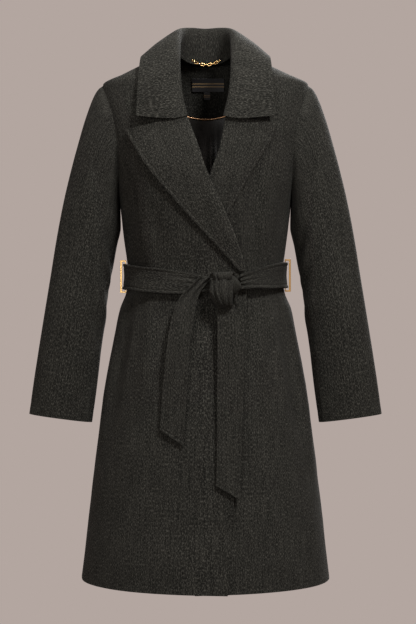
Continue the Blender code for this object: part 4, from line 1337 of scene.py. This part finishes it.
def belt_end_shape(table, folds, cross_stitch):
    steps = len(table) - 1
    stations = list(range(len(table)))
    curves = [
        [
            smooth_through(stations, [row[k] for row in table], n / BELT_STEPS)
            for n in range(BELT_STEPS * steps + 1)
        ]
        for k in range(5)
    ]

    def place(across, along, layer):
        x_1, z_1, x_2, z_2, lift = (read_list(c, along * BELT_STEPS * steps) for c in curves)
        x, height = between(x_1, x_2, across), between(z_1, z_2, across)
        width = math.hypot(x_2 - x_1, z_2 - z_1)
        if layer:
            lift += stitched_edge(min(across, 1 - across) * width)
            lift += stitched_edge((1 - along) * 0.38)
            if cross_stitch:
                lift -= STITCH_DEPTH * math.exp(-(((height - CROSS_STITCH_Z) / STITCH_REACH) ** 2))
        for at, reach, depth, start, deepest, end in folds:
            if start < along < end:
                rise = (along - start) / (deepest - start)
                fall = (end - along) / (end - deepest)
                share = min(max(min(rise, fall), 0), 1)
                share = share * share * (3 - 2 * share)
                lift += depth * share * math.exp(-(((across - at) / reach) ** 2))
        point = on_form(angle_of(x, height), height, lift + layer * BELT_CLOTH)
        return point, (across * BELT_WIDTH, height)

    return place


for name, cad_node, table, folds, stitched, length in (
    ("belt_short_hanging_end", "belt_short_end", SHORT_END, SHORT_END_FOLDS, False, 0.275),
    ("belt_long_hanging_end", "belt_long_end", LONG_END, LONG_END_FOLDS, True, 0.345),
):
    end = lay_cloth(name, 40, 190, belt_end_shape(table, folds, stitched), belt_wool)
    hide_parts(cad_node)

# ---- belt knot -----------------------------------------------------------------------
# The belt's own cloth, wrapped down over itself and pulled tight: a flat roll across the
# top, the wrapped turn with its pleats, and a small fold left standing at its side.

KNOT_CLOTH = 0.0030


def knot_station(line, along):
    """(y, z, left, right) this share of the way along a turn of the knot."""
    at = along * (len(line) - 1)
    k = min(int(at), len(line) - 2)
    around = [line[min(max(k + n, 0), len(line) - 1)] for n in (-1, 0, 1, 2)]
    return tuple(through_four(*(row[n] for row in around), at - k) for n in range(4))


def turn_shape(line, pleats, bulge, slant):
    """A wrapped turn of cloth that runs along the line of stations."""

    def skin(across, along):
        y, z, left, right = knot_station(line, along)
        rounding = (1 - abs(2 * across - 1) ** 2.6) ** 0.5
        point = Vector((between(left, right, across), y, z + slant * (across - 0.5)))
        point.y += bulge * (1 - rounding)
        for at, reach, depth, lean in pleats:
            place = at + lean * (along - 0.5)
            point.y -= depth * math.exp(-(((across - place) / reach) ** 2)) * math.sin(
                math.pi * min(max(along, 0), 1)
            ) ** 0.5
        return point

    def place(across, along, layer):
        point = skin(across, along)
        over = skin(across, min(along + 0.01, 1)) - skin(across, max(along - 0.01, 0))
        sideways = skin(min(across + 0.01, 1), along) - skin(max(across - 0.01, 0), along)
        outwards = over.cross(sideways).normalized()
        if outwards.length == 0:
            outwards = Vector((0, -1, 0))
        point += outwards * 0.0005 * noise.noise(point * 60)
        point -= outwards * KNOT_CLOTH * (1 - layer)
        return point, (across * BELT_WIDTH, along * 0.09)

    return place


# Stations of each turn: y, z, left edge and right edge.
WRAP_LINE = (
    (-0.1330, -0.4060, 0.0180, 0.0440),
    (-0.1450, -0.4030, 0.0150, 0.0450),
    (-0.1530, -0.4080, 0.0120, 0.0460),
    (-0.1575, -0.4180, 0.0085, 0.0470),
    (-0.1590, -0.4300, 0.0065, 0.0475),
    (-0.1575, -0.4420, 0.0095, 0.0475),
    (-0.1520, -0.4530, 0.0165, 0.0470),
    (-0.1420, -0.4590, 0.0205, 0.0460),
)
WRAP_PLEATS = (
    (0.16, 0.05, -0.0024, 0.34),
    (0.27, 0.06, 0.0016, 0.26),
    (0.38, 0.05, -0.0022, 0.22),
    (0.60, 0.07, 0.0010, -0.04),
    (0.78, 0.05, -0.0026, -0.16),
    (0.90, 0.05, 0.0014, -0.10),
)
ROLL_LINE = (
    (-0.1360, -0.4040, 0.0110, 0.0480),
    (-0.1450, -0.3975, 0.0105, 0.0480),
    (-0.1530, -0.3985, 0.0115, 0.0475),
    (-0.1565, -0.4040, 0.0130, 0.0465),
    (-0.1550, -0.4100, 0.0150, 0.0455),
    (-0.1480, -0.4135, 0.0170, 0.0450),
)
ROLL_PLEATS = (
    (0.10, 0.05, 0.0016, 0.0),
    (0.20, 0.05, -0.0022, 0.0),
    (0.52, 0.07, -0.0012, 0.10),
    (0.80, 0.06, -0.0016, -0.06),
)
SIDE_LINE = (
    (-0.1390, -0.4020, 0.0400, 0.0490),
    (-0.1480, -0.4080, 0.0400, 0.0550),
    (-0.1505, -0.4160, 0.0400, 0.0605),
    (-0.1490, -0.4240, 0.0400, 0.0620),
    (-0.1440, -0.4330, 0.0400, 0.0550),
    (-0.1360, -0.4400, 0.0400, 0.0470),
)
SIDE_PLEATS = ((0.55, 0.16, -0.0016, 0.1),)

for name, line, pleats, bulge, slant, area in (
    ("belt_knot_wrap", WRAP_LINE, WRAP_PLEATS, 0.0120, 0.0, 0.0040),
    ("belt_knot_roll", ROLL_LINE, ROLL_PLEATS, 0.0075, 0.0015, 0.0017),
    ("belt_knot_side_fold", SIDE_LINE, SIDE_PLEATS, 0.0060, -0.002, 0.0010),
):
    turn_of_knot = lay_cloth(name, 56, 70, turn_shape(line, pleats, bulge, slant), belt_wool)
    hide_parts("belt_knot")

# ---- gold belt rings -----------------------------------------------------------------
# Flat rectangular gold-plated rings with rounded edges, one at each side seam, that join
# the belt's front and back stretches.

RING_X = 0.1472
RING_OPENING = (0.0056, 0.0530)
RING_OUTER_BAR = 0.0036
RING_INNER_BAR = 0.0018
RING_END_BAR = 0.0028
RING_THICKNESS = 0.0024
RING_ROUNDING = 0.0005


def cut_corners(left, right, bottom, top, corner):
    """A closed outline with rounded corners."""
    points = []
    for x, y, turn_x, turn_y, first in (
        (left, bottom, 1, 1, 180), (right, bottom, -1, 1, 270),
        (right, top, -1, -1, 0), (left, top, 1, -1, 90),
    ):
        middle = (x + turn_x * corner, y + turn_y * corner)
        for step in range(5):
            turn = math.radians(first + 22.5 * step)
            points.append((middle[0] + corner * math.cos(turn), middle[1] + corner * math.sin(turn)))
    return points


for side_name, side, height in (("left", 1, LEFT_RING_Z), ("right", -1, RIGHT_RING_Z)):
    name = f"{side_name}_gold_belt_ring"
    half_across, half_up = RING_OPENING[0] / 2, RING_OPENING[1] / 2
    left = -half_across - (RING_INNER_BAR if side > 0 else RING_OUTER_BAR)
    right = half_across + (RING_OUTER_BAR if side > 0 else RING_INNER_BAR)
    outer_up = half_up + RING_END_BAR
    outer = cut_corners(left, right, -outer_up, outer_up, 0.0012)
    inner = cut_corners(-half_across, half_across, -half_up, half_up, 0.0006)
    ring_curve = bpy.data.curves.new(name, "CURVE")
    ring_curve.dimensions = "2D"
    ring_curve.fill_mode = "BOTH"
    ring_curve.extrude = RING_THICKNESS / 2 - RING_ROUNDING
    ring_curve.bevel_depth = RING_ROUNDING
    ring_curve.bevel_resolution = 3
    ring_curve.offset = -RING_ROUNDING
    for outline in (outer, inner):
        line = ring_curve.splines.new("POLY")
        line.points.add(len(outline) - 1)
        line.use_cyclic_u = True
        for point, (x, y) in zip(line.points, outline):
            point.co = (x, y, 0, 1)
    ring_curve.materials.append(gold_plate)
    flat_ring = bpy.data.objects.new(name, ring_curve)
    ring_mesh = bpy.data.meshes.new_from_object(flat_ring)
    bpy.data.objects.remove(flat_ring)
    ring_mesh.transform(
        Matrix.Translation((side * RING_X, 0, height)) @ Matrix.Rotation(math.radians(90), 4, "X")
    )
    ring = bpy.data.objects.new(name, ring_mesh)
    scene.collection.objects.link(ring)
    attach(ring, "root")
    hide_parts(f"{side_name}_belt_ring")
